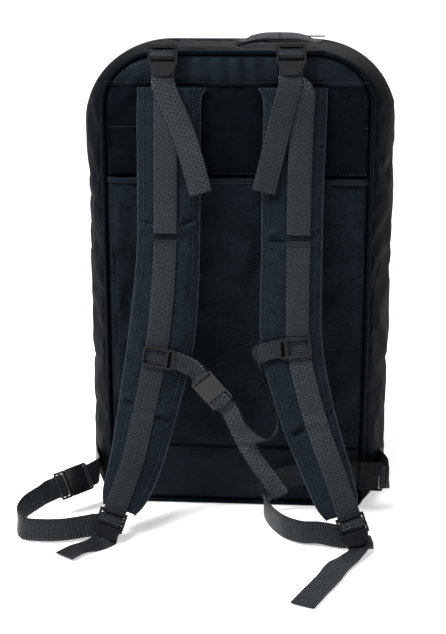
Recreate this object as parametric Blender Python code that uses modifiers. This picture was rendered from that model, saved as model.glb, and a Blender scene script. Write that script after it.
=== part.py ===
"""A trauma backpack: a tall clamshell pack with two padded shoulder straps, sternum strap and side buckles.

Metres, +Z up. The origin is on the floor under the middle of the body. The straps are on the -Y side,
the opening front is on the +Y side, and the wearer's left strap is at -X.
"""

import math

import bmesh
import bpy
from mathutils import Matrix, Vector

# The body: a flat back at BACK_Y, a flat front at FRONT_Y, and side walls that bulge between them.
SEAM_HALF = 0.1435      # half the width at the back and front piping
BULGE = 0.027           # how far the side walls stand out past the piping, halfway through the depth
HEIGHT = 0.510          # top of the back panel
TOP_RISE = 0.25         # share of the bulge that the top takes
TOP_FLAT = 0.078        # half the level stretch of the top
TOP_DROP = 0.055        # height of a rounded top corner
BASE_ROUND = 0.014      # radius of a bottom corner
BACK_Y = -0.090
FRONT_Y = 0.070
WALL = 0.003            # laminated wall: shell fabric, foam and lining
GAP = 0.0003            # air between two pieces that touch
DEPTH_STEPS = (0, 0.04, 0.12, 0.3, 0.5, 0.7, 0.88, 0.96, 1)
CORNER_STEPS = 6

# The main zip: up one side, over the top and down the other, then forward to the bottom hinge.
ZIP_Y = 0.010
ZIP_TURN_Z = 0.130      # height where the zip starts to curve forward
HINGE_Z = 0.030         # height of the lid's bottom edge
ZIP_SLOT = 0.009        # width of the slot between the two shells
CHAIN_GAP = 0.0024      # gap between the two tapes, filled by the slider's neck
TAPE_WIDE = 0.010
TAPE_THICK = 0.001
TAPE_LIFT = 0.0005      # air under a tape, which bridges the flats of the shell
ZIP_END_TURN = 60       # degrees of the curve that carry tape

# The back, from the bottom up.
PIPING_R = 0.0025
PANEL_INSET = 0.0035    # panels stay this far inside the seam line
BASE_TOP = 0.071        # top of the smooth base panel
PAD_TOP = 0.378         # top edge of the big back pad
YOKE_LOW = HEIGHT - 0.035       # lower edge of the yoke, where the straps come out
BASE_THICK = 0.003
PAD_THICK = 0.007
BAND_THICK = 0.002
YOKE_THICK = 0.006
BINDING_WIDE = 0.006
BINDING_THICK = 0.0015

# Shoulder straps: the path of the middle of the padding, from the yoke to the floor.
STRAP_THICK = 0.012
STRAP_X = {"left": (-0.0715, -0.0715, -0.0712, -0.0710, -0.0712, -0.0745, -0.0805, -0.0935, -0.1060,
                    -0.1210),
           "right": (0.0620, 0.0620, 0.0618, 0.0605, 0.0605, 0.0605, 0.0630, 0.0800, 0.1010, 0.1185)}
STRAP_WIDE = {"left": (0.065, 0.065, 0.066, 0.066, 0.066, 0.069, 0.070, 0.063, 0.056, 0.046),
              "right": (0.0645, 0.0645, 0.0645, 0.064, 0.063, 0.064, 0.064, 0.058, 0.051, 0.043)}
STRAP_Z = (YOKE_LOW - 0.0009, YOKE_LOW - 0.009, YOKE_LOW - 0.035, YOKE_LOW - 0.095, 0.310, 0.250, 0.197,
           0.130, 0.073, 0.030)
STRAP_OUT = (0.0, 0.0001, 0.0050, 0.0130, 0.0220, 0.0300, 0.0370, 0.0480, 0.0630, 0.0850)
SIDES = {"left": -1, "right": 1}
HINGE_POINT = Vector((0, BACK_Y - GAP - YOKE_THICK, YOKE_LOW))
STRAP_FACE = BACK_Y - 3 * GAP - BAND_THICK - STRAP_THICK     # depth of a strap's face at the yoke

# Webbing
WEB_WIDE = 0.025
WEB_THICK = 0.0012
SMALL_WEB_WIDE = 0.020
WEB_SHIFT = {"left": -0.003, "right": 0.007}    # the webbing is sewn off the middle of a strap
LIFTER_Z = 0.322        # where the load lifter leaves the strap
LIFTER_OFF = STRAP_THICK / 2 - 3 * WEB_THICK    # how far it then stands off the padding
EDGE_Z = WEB_WIDE / 2 + 0.0010      # height of a web that stands on its edge, over the floor

# Ladder locks: the same moulding at the top of the yoke and at the end of each strap.
LOCK_PLAY = 0.0005       # beside the webbing in a slot
LOCK_RIM = 0.0025
LOCK_WIDE = WEB_WIDE + 2 * (LOCK_PLAY + LOCK_RIM)
LOCK_LONG = 0.033
LOCK_THICK = 0.003
LOCK_BAR = 0.0035
LOCK_SLOT = 0.0055
LOCK_TOP = {"left": (-0.0770, HEIGHT + 0.0090), "right": (0.0570, HEIGHT + 0.0105)}
LAYER = WEB_THICK + 0.0004      # one layer of webbing and its air
# The lifters' free ends: X, and how far below the yoke.
LIFTER_TAIL = {"left": ((-0.0735, 0.005), (-0.0560, 0.044), (-0.0455, 0.075), (-0.0360, 0.109)),
               "right": ((0.0545, 0.005), (0.0445, 0.044), (0.0375, 0.075), (0.0300, 0.107))}

# Sternum strap
STERNUM_Z = {"left": 0.1900, "right": 0.2030}
SLIDER_LONG = 0.028
SLIDER_HIGH = 0.022
SLIDER_THICK = 0.003
SLIDER_RIM = 0.0028
SLIDER_PLAY = 0.0008    # air under a slider, which has to pass the strap's curve
SLIDER_LOOP = 0.0075    # the side loop that the sternum webbing goes through
STERNUM_Y = STRAP_FACE - 0.0511     # plane in which the sternum buckle hangs
STERNUM_BUCKLE = Vector((-0.0345, STERNUM_Y, 0.1740))
STERNUM_TURN = 50       # degrees that the sternum buckle points down

# Side-release buckles, along their own axis from the female's bar to the male's bar.
FEMALE_LONG = 0.026
MALE_LONG = 0.012
BUCKLE_EDGE = 0.0065    # how much wider than its webbing a buckle is
FEMALE_THICK = 0.0085
MALE_THICK = 0.0036
PRONG_PLAY = 0.0005
SIDE_BUCKLE = {"left": (Vector((-SEAM_HALF - 0.0225, -0.1160, 0.0400)), Vector((-0.80, -0.56, -0.16))),
               "right": (Vector((SEAM_HALF + 0.0225, -0.1080, 0.0440)), Vector((-1.0, 0.0, 0.03)))}

# Where the loose webs run: points on their middle lines, and their width directions.
TAIL_ROUTE = {"left": ((-0.158, -0.226, 0.0085), (-0.171, -0.244, 0.0050)),
              "right": ((0.116, -0.246, 0.0040), (0.104, -0.275, 0.0025), (0.090, -0.305, 0.0022),
                        (0.078, -0.332, 0.0020))}
LOWER_ROUTE = {"left": ((-SEAM_HALF - 0.0690, -0.1530, 0.0300), (-SEAM_HALF - 0.0835, -0.1700, 0.0240),
                        (-SEAM_HALF - 0.0885, -0.1880, EDGE_Z + 0.0035),
                        (-SEAM_HALF - 0.0795, -0.2030, EDGE_Z + 0.0005),
                        (-SEAM_HALF - 0.0575, -0.2070, EDGE_Z + 0.0005), (-0.1780, -0.2050, EDGE_Z + 0.0010),
                        (-0.1405 - LOCK_WIDE / 2, -0.1990, 0.0165)),
               "right": ((SEAM_HALF - 0.0485, -0.1090, 0.0470), (0.0650, -0.1110, 0.0440),
                         (0.0420, -0.1140, 0.0340), (0.0340, -0.1240, EDGE_Z + 0.0045),
                         (0.0400, -0.1480, EDGE_Z), (0.0560, -0.1780, EDGE_Z),
                         (0.0760, -0.1930, EDGE_Z + 0.0005),
                         (0.1260 - LOCK_WIDE, -0.1960, 0.0275 - WEB_WIDE / 2))}
EDGE_UP = Vector((0, 0.25, 1))
ANCHOR_TURN = {"left": ((-SEAM_HALF - 0.0185, -0.0740), (-SEAM_HALF - 0.0140, -0.0930)),
               "right": ((SEAM_HALF + 0.0265, -0.0700), (SEAM_HALF + 0.0295, -0.0860),
                         (SEAM_HALF + 0.0285, -0.1000))}

# The sternum webs, whose depths are taken from STRAP_FACE.
FOLD_ROUTE = ((0.0260, -0.0371, 0.1950), (0.0240, -0.0281, 0.1870), (0.0270, -0.0216, 0.1780))
FOLD_ACROSS = ((-0.25, 0.1, 1), (-0.5, 0.2, 0.9), (-0.4, 0.6, 0.6))
LOOP_ROUTE = ((0.0070, -0.0551, 0.1180), (0.0240, -0.0531, 0.1045), (0.0385, -0.0451, 0.1020),
              (0.0465, -0.0351, 0.1110), (0.0460, -0.0231, 0.1290), (0.0380, -0.0181, 0.1500),
              (0.0300, -0.0161, 0.1680))
LOOP_ACROSS = ((0.6, -0.2, 0.75), (0.5, -0.6, 0.7), (0.1, -1, 0.3), (0, -1, 0), (0, -1, 0), (0, -1, 0),
               (0, -1, 0))
STERNUM_TAIL_ROUTE = ((0.0040, -0.0456, 0.1180), (0.0180, -0.0401, 0.0860), (0.0370, -0.0361, 0.0560),
                      (0.0540, -0.0331, 0.0310))
STERNUM_TAIL_ACROSS = ((1, 0, 0.6), (1, 0, 0.55), (1, 0, 0.6), (1, 0, 0.6))

# Zip sliders
SLIDER_X = {"left": 0.040, "right": 0.062}
PLATE = Vector((0.013, 0.009, 0.0018))
PULL_LONG = 0.030
PULL_HALF = 0.0030

# Front of the lid
POCKET_HALF = 0.122
POCKET_LOW = 0.046
POCKET_TOP = 0.335
POCKET_DEEP = 0.022
POCKET_ZIP_Z = 0.318
PATCH_HALF = 0.100
PATCH_LOW = 0.372
PATCH_TOP = 0.462

# Carry handle
HANDLE_X = 0.043
HANDLE_HALF = 0.046
HANDLE_RISE = 0.012
HANDLE_Y = -0.036

# Inside
SHEET_HALF = 0.120
SHEET_THICK = 0.0015
STAY_X = 0.060
STAY_WIDE = 0.015
STAY_THICK = 0.002
DIVIDER_Z = {"lower": 0.190, "upper": 0.350}
DIVIDER_THICK = 0.005

COLORS = {
    "nylon": ((0.012, 0.013, 0.016), 0.55, 0.0),
    "nylon_dark": ((0.008, 0.009, 0.011), 0.7, 0.0),
    "strap_fabric": ((0.016, 0.017, 0.020), 0.75, 0.0),
    "webbing": ((0.020, 0.021, 0.024), 0.6, 0.0),
    "buckle": ((0.012, 0.012, 0.013), 0.3, 0.0),
    "zip": ((0.010, 0.010, 0.011), 0.5, 0.0),
    "lining": ((0.10, 0.11, 0.12), 0.8, 0.0),
    "sheet": ((0.02, 0.02, 0.02), 0.4, 0.0),
    "aluminium": ((0.6, 0.6, 0.62), 0.35, 1.0),
}


def clear_scene():
    for obj in list(bpy.data.objects):
        bpy.data.objects.remove(obj, do_unlink=True)


def new_collection(name):
    made = bpy.data.collections.new(name)
    bpy.context.scene.collection.children.link(made)
    return made


def material(name):
    found = bpy.data.materials.get(name)
    if found:
        return found
    made = bpy.data.materials.new(name)
    made.use_nodes = True
    color, rough, metal = COLORS[name]
    shader = made.node_tree.nodes["Principled BSDF"]
    shader.inputs["Base Color"].default_value = (*color, 1)
    shader.inputs["Roughness"].default_value = rough
    shader.inputs["Metallic"].default_value = metal
    return made


def add_object(name, data, finish, collection=None):
    obj = bpy.data.objects.new(name, data)
    (collection or PARTS).objects.link(obj)
    if finish:
        data.materials.append(material(finish))
    return obj


def loft(name, rings, finish, collection=None, origin=(0, 0, 0)):
    """A closed solid through rings of points, with a flat cap at each end."""
    origin = Vector(origin)
    bm = bmesh.new()
    loops = [[bm.verts.new(Vector(p) - origin) for p in ring] for ring in rings]
    count = len(loops[0])
    for a, b in zip(loops, loops[1:]):
        for i in range(count):
            j = (i + 1) % count
            bm.faces.new((a[i], a[j], b[j], b[i]))
    bm.faces.new(loops[0][::-1])
    bm.faces.new(loops[-1])
    bmesh.ops.recalc_face_normals(bm, faces=bm.faces)
    mesh = bpy.data.meshes.new(name)
    bm.to_mesh(mesh)
    bm.free()
    mesh.shade_smooth()
    mesh.set_sharp_from_angle(angle=math.radians(35))
    obj = add_object(name, mesh, finish, collection)
    obj.location = origin
    return obj


def box(name, low, high, finish=None, collection=None, frame=None):
    """A box between two corners, given in its own frame."""
    low, high = Vector(low), Vector(high)
    bm = bmesh.new()
    bmesh.ops.create_cube(bm, size=1)
    bmesh.ops.scale(bm, vec=high - low, verts=bm.verts)
    bmesh.ops.translate(bm, vec=(low + high) / 2, verts=bm.verts)
    mesh = bpy.data.meshes.new(name)
    bm.to_mesh(mesh)
    bm.free()
    obj = add_object(name, mesh, finish, collection)
    obj.matrix_world = frame or Matrix()
    return obj


def plate(name, outlines, thick, frame, finish):
    """A flat plate, centred on its frame's XY plane: the first outline is its edge, the others are holes."""
    curve = bpy.data.curves.new(name, "CURVE")
    curve.dimensions = "2D"
    curve.fill_mode = "BOTH"
    curve.extrude = thick / 2
    for points in outlines:
        spline = curve.splines.new("POLY")
        spline.points.add(len(points) - 1)
        for point, (x, y) in zip(spline.points, points):
            point.co = (x, y, 0, 1)
        spline.use_cyclic_u = True
    obj = add_object(name, curve, finish)
    obj.matrix_world = frame
    return obj


def tube(name, points, radius, closed, finish):
    """A round cord, as a closed loop or with flat ends."""
    curve = bpy.data.curves.new(name, "CURVE")
    curve.dimensions = "3D"
    curve.bevel_depth = radius
    curve.bevel_resolution = 1
    curve.use_fill_caps = True
    spline = curve.splines.new("POLY")
    spline.points.add(len(points) - 1)
    for point, place in zip(spline.points, points):
        point.co = (*place, 1)
    spline.use_cyclic_u = closed
    return add_object(name, curve, finish)


def cut(obj, cutter, operation="DIFFERENCE"):
    cutter.hide_render = True
    cutter.display_type = "WIRE"
    step = obj.modifiers.new(cutter.name, "BOOLEAN")
    step.operation = operation
    step.solver = "EXACT"
    step.object = cutter


def frame_at(place, across, along):
    """A frame at a place: X is across, Y is along, Z stands out of the face."""
    y = Vector(along).normalized()
    x = Vector(across)
    x = (x - x.dot(y) * y).normalized()
    z = x.cross(y)
    return Matrix.Translation(place) @ Matrix((x, y, z)).transposed().to_4x4()


def facing_back(x, y, z):
    """A frame for a plate on the back: its X is world X, its Y is up, and its Z points at the wearer."""
    return frame_at(Vector((x, y, z)), (1, 0, 0), (0, 0, 1))


def steps(count, low=0.0, high=1.0):
    return [low + (high - low) * i / count for i in range(count + 1)]


def rounded(x0, y0, x1, y1, radius, count=3):
    """The outline of a rectangle with round corners."""
    points = []
    for cx, cy, start in ((x1 - radius, y1 - radius, 0), (x0 + radius, y1 - radius, 90),
                          (x0 + radius, y0 + radius, 180), (x1 - radius, y0 + radius, 270)):
        for turn in steps(count, start, start + 90):
            a = math.radians(turn)
            points.append((cx + radius * math.cos(a), cy + radius * math.sin(a)))
    return points


def rectangle(x0, y0, x1, y1):
    return [(x0, y0), (x1, y0), (x1, y1), (x0, y1)]


def between(values, t):
    """A smooth value at t along a list, by Catmull-Rom."""
    last = len(values) - 1
    i = min(int(t), last - 1)
    u = t - i
    p1, p2 = values[i], values[i + 1]
    p0 = values[i - 1] if i else p1 * 2 - p2
    p3 = values[i + 2] if i + 2 <= last else p2 * 2 - p1
    return 0.5 * (2 * p1 + (p2 - p0) * u + (2 * p0 - 5 * p1 + 4 * p2 - p3) * u ** 2
                  + (3 * (p1 - p2) + p3 - p0) * u ** 3)


def stations(points, across, per=3):
    """Places along a smooth path, each with its width direction, its normal and its share of the list."""
    last = len(points) - 1
    points = [Vector(p) for p in points]
    across = [Vector(a) for a in across] if isinstance(across, list) else [Vector(across)] * (last + 1)
    ts = steps(last * per, 0, last)
    places = [between(points, t) for t in ts]
    found = []
    for i, t in enumerate(ts):
        ahead = (places[min(i + 1, len(ts) - 1)] - places[max(i - 1, 0)]).normalized()
        width = between(across, t)
        width = (width - width.dot(ahead) * ahead).normalized()
        found.append((places[i], width, ahead.cross(width), t))
    return found


def ribbon(name, points, across, wide, thick, finish, per=3, origin=(0, 0, 0)):
    """A strip of webbing along a smooth path. across is its width direction, at each point or for all."""
    rings = []
    for place, width, normal, _ in stations(points, across, per):
        u, v = width * wide / 2, normal * thick / 2
        rings.append([place + u + v, place - u + v, place - u - v, place + u - v])
    return loft(name, rings, finish, origin=origin)


# The body's surface

def bulge(y):
    """How far the side wall stands out past the piping at a depth."""
    t = (y - BACK_Y) / (FRONT_Y - BACK_Y)
    return BULGE * max(0.0, math.sin(math.pi * t)) ** 0.55


def skin(sign, place, y, lift=0.0):
    """A point on the side wall or top, lifted off it. place is a height, or 1 + the share of the corner."""
    grow = bulge(y)
    wide = SEAM_HALF + grow + lift
    if place < 1:
        return Vector((sign * wide, y, place))
    turn = (place - 1) * math.pi / 2
    top = HEIGHT + TOP_RISE * grow + lift
    drop = TOP_DROP + grow + lift
    across = TOP_FLAT + (wide - TOP_FLAT) * math.cos(turn)
    return Vector((sign * across, y, top - drop + drop * math.sin(turn)))


def half_outline(y, lift=0.0):
    """The right half of the body's outline at a depth, from the base up."""
    wide = SEAM_HALF + bulge(y) + lift
    radius = BASE_ROUND + 0.6 * bulge(y) + lift
    low = [Vector((wide - radius + radius * math.sin(a), y, radius - radius * math.cos(a) - lift))
           for a in steps(3, 0, math.pi / 2)]
    return low + [skin(1, 1 + share, y, lift) for share in steps(CORNER_STEPS)]


def outline(y, lift=0.0):
    right = half_outline(y, lift)
    return right + [Vector((-p.x, p.y, p.z)) for p in reversed(right)]


def half_width(z, inset):
    """Half the back panel's width at a height, inset from the seam."""
    wide, drop = SEAM_HALF - inset, TOP_DROP - inset
    if z < BASE_ROUND:
        radius = BASE_ROUND - inset - 2 * GAP
        return SEAM_HALF - BASE_ROUND + math.sqrt(max(0.0, radius ** 2 - (BASE_ROUND - z) ** 2))
    up = (z - (HEIGHT - TOP_DROP)) / drop
    if up <= 0:
        return wide
    return TOP_FLAT + (wide - TOP_FLAT) * math.sqrt(max(0.0, 1 - min(up, 1) ** 2))


def panel_outline(low, high, inset=PANEL_INSET):
    """A slice of the back panel between two heights."""
    top = min(high, HEIGHT - inset)
    bends = steps(4, 0, BASE_ROUND) + steps(8, HEIGHT - TOP_DROP, HEIGHT - inset)
    rows = [low] + [z for z in bends if low < z < top] + [top]
    right = [(half_width(z, inset), z) for z in rows]
    return right + [(-x, z) for x, z in reversed(right)]


def lid_region(grow):
    """The lid's side view (y, z), grown or shrunk along the zip."""
    deep, high = FRONT_Y - ZIP_Y + grow, ZIP_TURN_Z - HINGE_Z + grow
    far = FRONT_Y + 0.05
    above = HEIGHT + 0.1
    curve = [(FRONT_Y - deep * math.cos(a), ZIP_TURN_Z - high * math.sin(a))
             for a in steps(8, 0, math.pi / 2)]
    return [(far, above), (FRONT_Y - deep, above)] + curve + [(far, HINGE_Z - grow)]


def body_shell(name, grow, operation):
    """The whole hollow body, then one side of the zip of it."""
    rings = [outline(BACK_Y + (FRONT_Y - BACK_Y) * t) for t in DEPTH_STEPS]
    shell = loft(name, rings, "nylon")
    wall = shell.modifiers.new("wall", "SOLIDIFY")
    wall.thickness = WALL
    wall.offset = -1
    reach = SEAM_HALF + BULGE + 0.05
    region = [[Vector((x, y, z)) for y, z in lid_region(grow)] for x in (-reach, reach)]
    cut(shell, loft(name + "_cutter", region, None, CUTTERS), operation)
    return shell


def zip_tape(name, sign_across):
    """One tape of the main zip, on the shell: sign_across is -1 for the back tape and 1 for the lid's."""
    deep, high = FRONT_Y - ZIP_Y, ZIP_TURN_Z - HINGE_Z
    edge_in, edge_out = CHAIN_GAP / 2, CHAIN_GAP / 2 + TAPE_WIDE
    rows = []
    for turn in steps(5, math.radians(ZIP_END_TURN), 0):
        y, z = FRONT_Y - deep * math.cos(turn), ZIP_TURN_Z - high * math.sin(turn)
        side = Vector((math.cos(turn) / deep, math.sin(turn) / high)).normalized() * sign_across
        rows.append((Vector((y, z)), side))
    corner = HEIGHT - TOP_DROP - (1 - TOP_RISE) * bulge(ZIP_Y)
    straight = Vector((sign_across, 0))
    rows.append((Vector((ZIP_Y, (ZIP_TURN_Z + corner) / 2)), straight))
    rows += [(Vector((ZIP_Y, 1 + share)), straight) for share in steps(CORNER_STEPS)]
    rings = []
    for sign in (1, -1):
        for centre, side in rows if sign > 0 else rows[::-1]:
            corners = ((edge_in, TAPE_LIFT), (edge_out, TAPE_LIFT), (edge_out, TAPE_LIFT + TAPE_THICK),
                       (edge_in, TAPE_LIFT + TAPE_THICK))
            ring = []
            for reach, lift in corners:
                y, place = centre + side * reach
                ring.append(skin(sign, place, y, lift))
            rings.append(ring)
    return loft(name, rings, "zip")


def piping(name, y, low, high, closed):
    """Piping along the part of the outline between two heights, clear of the floor."""
    points = [Vector((p.x, y, max(p.z, PIPING_R + GAP))) for p in outline(y) if low <= p.z <= high]
    if not closed:
        right = [p for p in points if p.x > 0]
        left = [p for p in points if p.x < 0]
        if high > HEIGHT:
            points = [Vector((SEAM_HALF, y, low))] + right + left + [Vector((-SEAM_HALF, y, low))]
        else:
            points = [Vector((-SEAM_HALF, y, high))] + left + right + [Vector((SEAM_HALF, y, high))]
    tube(name, points, PIPING_R, closed, "nylon_dark")


def back_panels():
    skin_y = BACK_Y - GAP
    for name, low, high, thick, finish in (
            ("base_panel", 2 * PIPING_R + 2 * GAP, BASE_TOP - GAP, BASE_THICK, "nylon"),
            ("back_pad", BASE_TOP, PAD_TOP - GAP, PAD_THICK, "nylon"),
            ("stow_band", PAD_TOP, YOKE_LOW - 2 * GAP, BAND_THICK, "nylon_dark"),
            ("yoke_panel", YOKE_LOW, HEIGHT, YOKE_THICK, "nylon")):
        plate(name, [panel_outline(low, high)], thick, facing_back(0, skin_y - thick / 2, 0), finish)
    half = SEAM_HALF - PANEL_INSET
    box("pad_binding", (-half, skin_y - PAD_THICK - GAP - BINDING_THICK, PAD_TOP - BINDING_WIDE),
        (half, skin_y - PAD_THICK - GAP, PAD_TOP), "nylon_dark")


# Shoulder straps

def strap_path(side):
    """The padding's middle line, as points, with a width for each."""
    inner = BACK_Y - 3 * GAP - BAND_THICK - STRAP_THICK / 2
    points = [Vector((x, inner - out, z))
              for x, out, z in zip(STRAP_X[side], STRAP_OUT, STRAP_Z)]
    return points, list(STRAP_WIDE[side])


def strap_station(side, z, lift=0.0):
    """A frame on a strap's webbing line, lifted off the padding: X across, Y up the strap, Z outward."""
    points, _ = strap_path(side)
    low, high = 0.0, len(points) - 1.0
    for _ in range(30):
        middle = (low + high) / 2
        if between(points, middle).z > z:
            low = middle
        else:
            high = middle
    up = between(points, max(low - 0.01, 0)) - between(points, min(low + 0.01, len(points) - 1))
    frame = frame_at(between(points, low), (1, 0, 0), up)
    out = STRAP_THICK / 2 + lift
    return frame @ Matrix.Translation((WEB_SHIFT[side], 0, out))


def strap_pad(side):
    points, wides = strap_path(side)
    edge = STRAP_THICK * 0.3
    rings = []
    for place, width, normal, t in stations(points, (1, 0, 0), per=4):
        half, deep = between(wides, t) / 2, STRAP_THICK / 2
        corners = ((half, deep - edge), (half - edge, deep), (-half + edge, deep), (-half, deep - edge),
                   (-half, edge - deep), (-half + edge, -deep), (half - edge, -deep), (half, edge - deep))
        rings.append([place + width * u + normal * v for u, v in corners])
    loft(f"strap_pad_{side}", rings, "strap_fabric", origin=HINGE_POINT)


def strap_web(side):
    """The webbing sewn down the face of a strap, from the load lifter to the adjuster."""
    points, _ = strap_path(side)
    near = STRAP_THICK / 2 + 2 * GAP
    found = [s for s in stations(points, (1, 0, 0), per=4) if s[0].z < LIFTER_Z - 0.003]
    place, width, normal, _ = found[-1]
    ahead = width.cross(normal)
    found.append((place + ahead * 0.008, width, normal, 0))
    rings = []
    for place, width, normal, _ in found:
        middle = place + width * WEB_SHIFT[side]
        outward = -normal if normal.y > 0 else normal
        low, high, half = outward * near, outward * (near + WEB_THICK), width * WEB_WIDE / 2
        rings.append([middle + half + high, middle - half + high, middle - half + low, middle + half + low])
    loft(f"strap_web_{side}", rings, "webbing", origin=HINGE_POINT)


def lock_outline():
    """A ladder lock: top bar, two slots and a half-moon thumb tab. Its top edge is at Y 0."""
    half = LOCK_WIDE / 2
    tab = 3 * LOCK_BAR + 2 * LOCK_SLOT
    shape = [(-half, 0), (half, 0), (half, -tab)]
    moon = half - 0.002
    shape += [(moon * math.cos(a), -tab - (LOCK_LONG - tab) * math.sin(a)) for a in steps(8, 0, math.pi)]
    shape += [(-half, -tab)]
    window = half - LOCK_RIM
    first = LOCK_BAR
    second = 2 * LOCK_BAR + LOCK_SLOT
    return [shape[::-1], rectangle(-window, -first - LOCK_SLOT, window, -first),
            rectangle(-window, -second - LOCK_SLOT, window, -second)]


def lock_back():
    """Depth of the top ladder locks' back face: yoke, anchor and two layers of webbing are behind it."""
    return HINGE_POINT.y - 3 * LAYER - 2 * GAP


def top_lock(side):
    """A ladder lock hinged on its back top edge, with the short anchor web that holds it."""
    x, top = LOCK_TOP[side]
    pivot = Vector((x, lock_back(), top))
    plate(f"top_lock_{side}", lock_outline(), LOCK_THICK,
          facing_back(x, pivot.y - LOCK_THICK / 2, top), "buckle")
    y = HINGE_POINT.y - GAP - WEB_THICK / 2
    near = lock_back() + GAP + WEB_THICK / 2
    points = [(x, y, YOKE_LOW + 0.012), (x, y, top - 0.0075), (x, (y + near) / 2, top - 0.0042),
              (x, near, top - 0.0012), (x, near, top + 0.0008)]
    ribbon(f"lock_anchor_{side}", points, (1, 0, 0), WEB_WIDE, WEB_THICK, "webbing", per=2)


def lifter_web(side):
    """One web: sewn to the strap, up behind the lock, over its middle bar and down as the free tail."""
    x, top = LOCK_TOP[side]
    mid = top - LOCK_BAR - LOCK_SLOT - LOCK_BAR / 2
    slot = LOCK_BAR / 2 + LOCK_SLOT / 2
    back, front = lock_back(), lock_back() - LOCK_THICK
    deep, shallow = back + 1.5 * LAYER, back + 0.5 * LAYER
    tab = top - LOCK_LONG
    low = strap_station(side, LIFTER_Z, GAP + WEB_THICK).translation
    rise = [strap_station(side, z, LIFTER_OFF).translation for z in
            (LIFTER_Z + 0.023, *[YOKE_LOW - down for down in (0.095, 0.060, 0.030, 0.005)])]
    bar = LOCK_THICK / 2 + WEB_THICK
    loop = [(deep - STRAP_THICK / 3, YOKE_LOW + 0.0055), (deep, tab + 0.003), (deep, mid - 0.004),
            (deep, mid + 0.001), (back - LOCK_THICK / 2, mid + slot),
            (front - WEB_THICK, mid + slot / 2), (front - WEB_THICK, mid),
            (front - WEB_THICK, mid - slot / 2), (front + bar, mid - slot + 0.0004),
            (shallow, mid - slot - 0.0012), (shallow, mid - slot - 0.0055), (shallow, tab + 0.0002),
            (shallow - 0.0042, tab - 0.0075)]
    loop = [Vector((x, y, z)) for y, z in loop]
    tail = []
    for turn, (tx, down) in enumerate(LIFTER_TAIL[side]):
        ahead, tz = 0.0050 if turn else 0.0038, YOKE_LOW - down
        tail.append(Vector((tx, strap_station(side, tz).translation.y - ahead, tz)))
    route = [low] + rise + loop + tail
    ribbon(f"lifter_web_{side}", route, (1, 0, 0), WEB_WIDE, WEB_THICK, "webbing", per=2)


def adjuster_frame(side):
    """The frame of the ladder lock at a strap's end: Y points back up the strap, Z outward."""
    end = strap_station(side, STRAP_Z[-1], WEB_THICK + 4 * GAP)
    return end @ Matrix.Translation((0, -0.003, LOCK_THICK / 2))


def adjuster(side):
    plate(f"adjuster_{side}", lock_outline(), LOCK_THICK, adjuster_frame(side), "buckle")


def adjuster_tail(side):
    """The free end below an adjuster, out of its lower slot and along the floor."""
    frame = adjuster_frame(side)
    low = -3 * LOCK_BAR - 2 * LOCK_SLOT
    lift = LOCK_THICK / 2 + GAP + WEB_THICK / 2
    start = frame @ Vector((0, -LOCK_BAR, lift))
    over = frame @ Vector((0, low * 0.5, lift + 0.0003))
    tab = frame @ Vector((0, low - 0.003, lift + 0.0022))
    tip = frame @ Vector((0, -LOCK_LONG + 0.003, lift + 0.0070))
    route = [start, over, tab, tip] + [Vector(p) for p in TAIL_ROUTE[side]]
    across = [frame.to_3x3() @ Vector((1, 0, 0))] * 4 + [Vector((1, 0, 0))] * len(TAIL_ROUTE[side])
    ribbon(f"adjuster_tail_{side}", route, across, WEB_WIDE - 0.001, WEB_THICK, "webbing", per=3,
           origin=HINGE_POINT)


# Side buckles

def buckle_frame(start, ahead):
    """The frame of a side-release buckle: X from the female's bar to the male's, Y across, Z out."""
    x = ahead.normalized()
    z = Vector((0, -1, 0.35))
    z = (z - z.dot(x) * x).normalized()
    y = z.cross(x)
    return Matrix.Translation(start) @ Matrix((x, y, z)).transposed().to_4x4()


def side_release(female, male, frame, web):
    """Both halves of a side-release buckle, latched."""
    half = (web + BUCKLE_EDGE) / 2
    arm_out = web / 2 + 0.0005
    arm_in = arm_out - 0.0030
    body = plate(female, [rounded(0, -half, FEMALE_LONG, half, 0.002, 2),
                          rectangle(0.0016, -web / 2 - 0.0008, 0.0044, web / 2 + 0.0008)],
                 FEMALE_THICK, frame, "buckle")
    body = as_mesh(body)
    tall = MALE_THICK / 2 + PRONG_PLAY
    mouth = box(female + "_mouth", (0.0065, -arm_out - PRONG_PLAY, -tall),
                (FEMALE_LONG + 0.01, arm_out + PRONG_PLAY, tall), None, CUTTERS, frame)
    windows = box(female + "_windows", (0.0085, -half - 0.01, -tall), (0.0165, half + 0.01, tall),
                  None, CUTTERS, frame)
    cut(body, mouth)
    cut(body, windows)
    base = FEMALE_LONG + GAP
    end = base + MALE_LONG
    tip = 0.0075
    shape = [(end, -half), (end, half), (base, half), (base, arm_out), (tip + 0.002, arm_out),
             (tip, arm_out - 0.0012), (tip, arm_in), (base - 0.001, arm_in), (base - 0.001, 0.0015),
             (tip + 0.002, 0.0015), (tip + 0.002, -0.0015), (base - 0.001, -0.0015), (base - 0.001, -arm_in),
             (tip, -arm_in), (tip, 0.0012 - arm_out), (tip + 0.002, -arm_out), (base, -arm_out),
             (base, -half)]
    slots = [rectangle(base + near, -web / 2 - 0.0008, base + near + 0.0028, web / 2 + 0.0008)
             for near in (0.0022, 0.0072)]
    plate(male, [shape] + slots, MALE_THICK, frame, "buckle")


def as_mesh(curve):
    """The same object as a mesh, welded, so that it can be cut."""
    bpy.context.view_layer.update()
    graph = bpy.context.evaluated_depsgraph_get()
    mesh = bpy.data.meshes.new_from_object(curve.evaluated_get(graph))
    name, place = curve.name, curve.matrix_world.copy()
    bpy.data.objects.remove(curve, do_unlink=True)
    bm = bmesh.new()
    bm.from_mesh(mesh)
    bmesh.ops.remove_doubles(bm, verts=bm.verts, dist=0.000001)
    bm.to_mesh(mesh)
    bm.free()
    made = add_object(name, mesh, None)
    made.matrix_world = place
    return made


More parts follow.
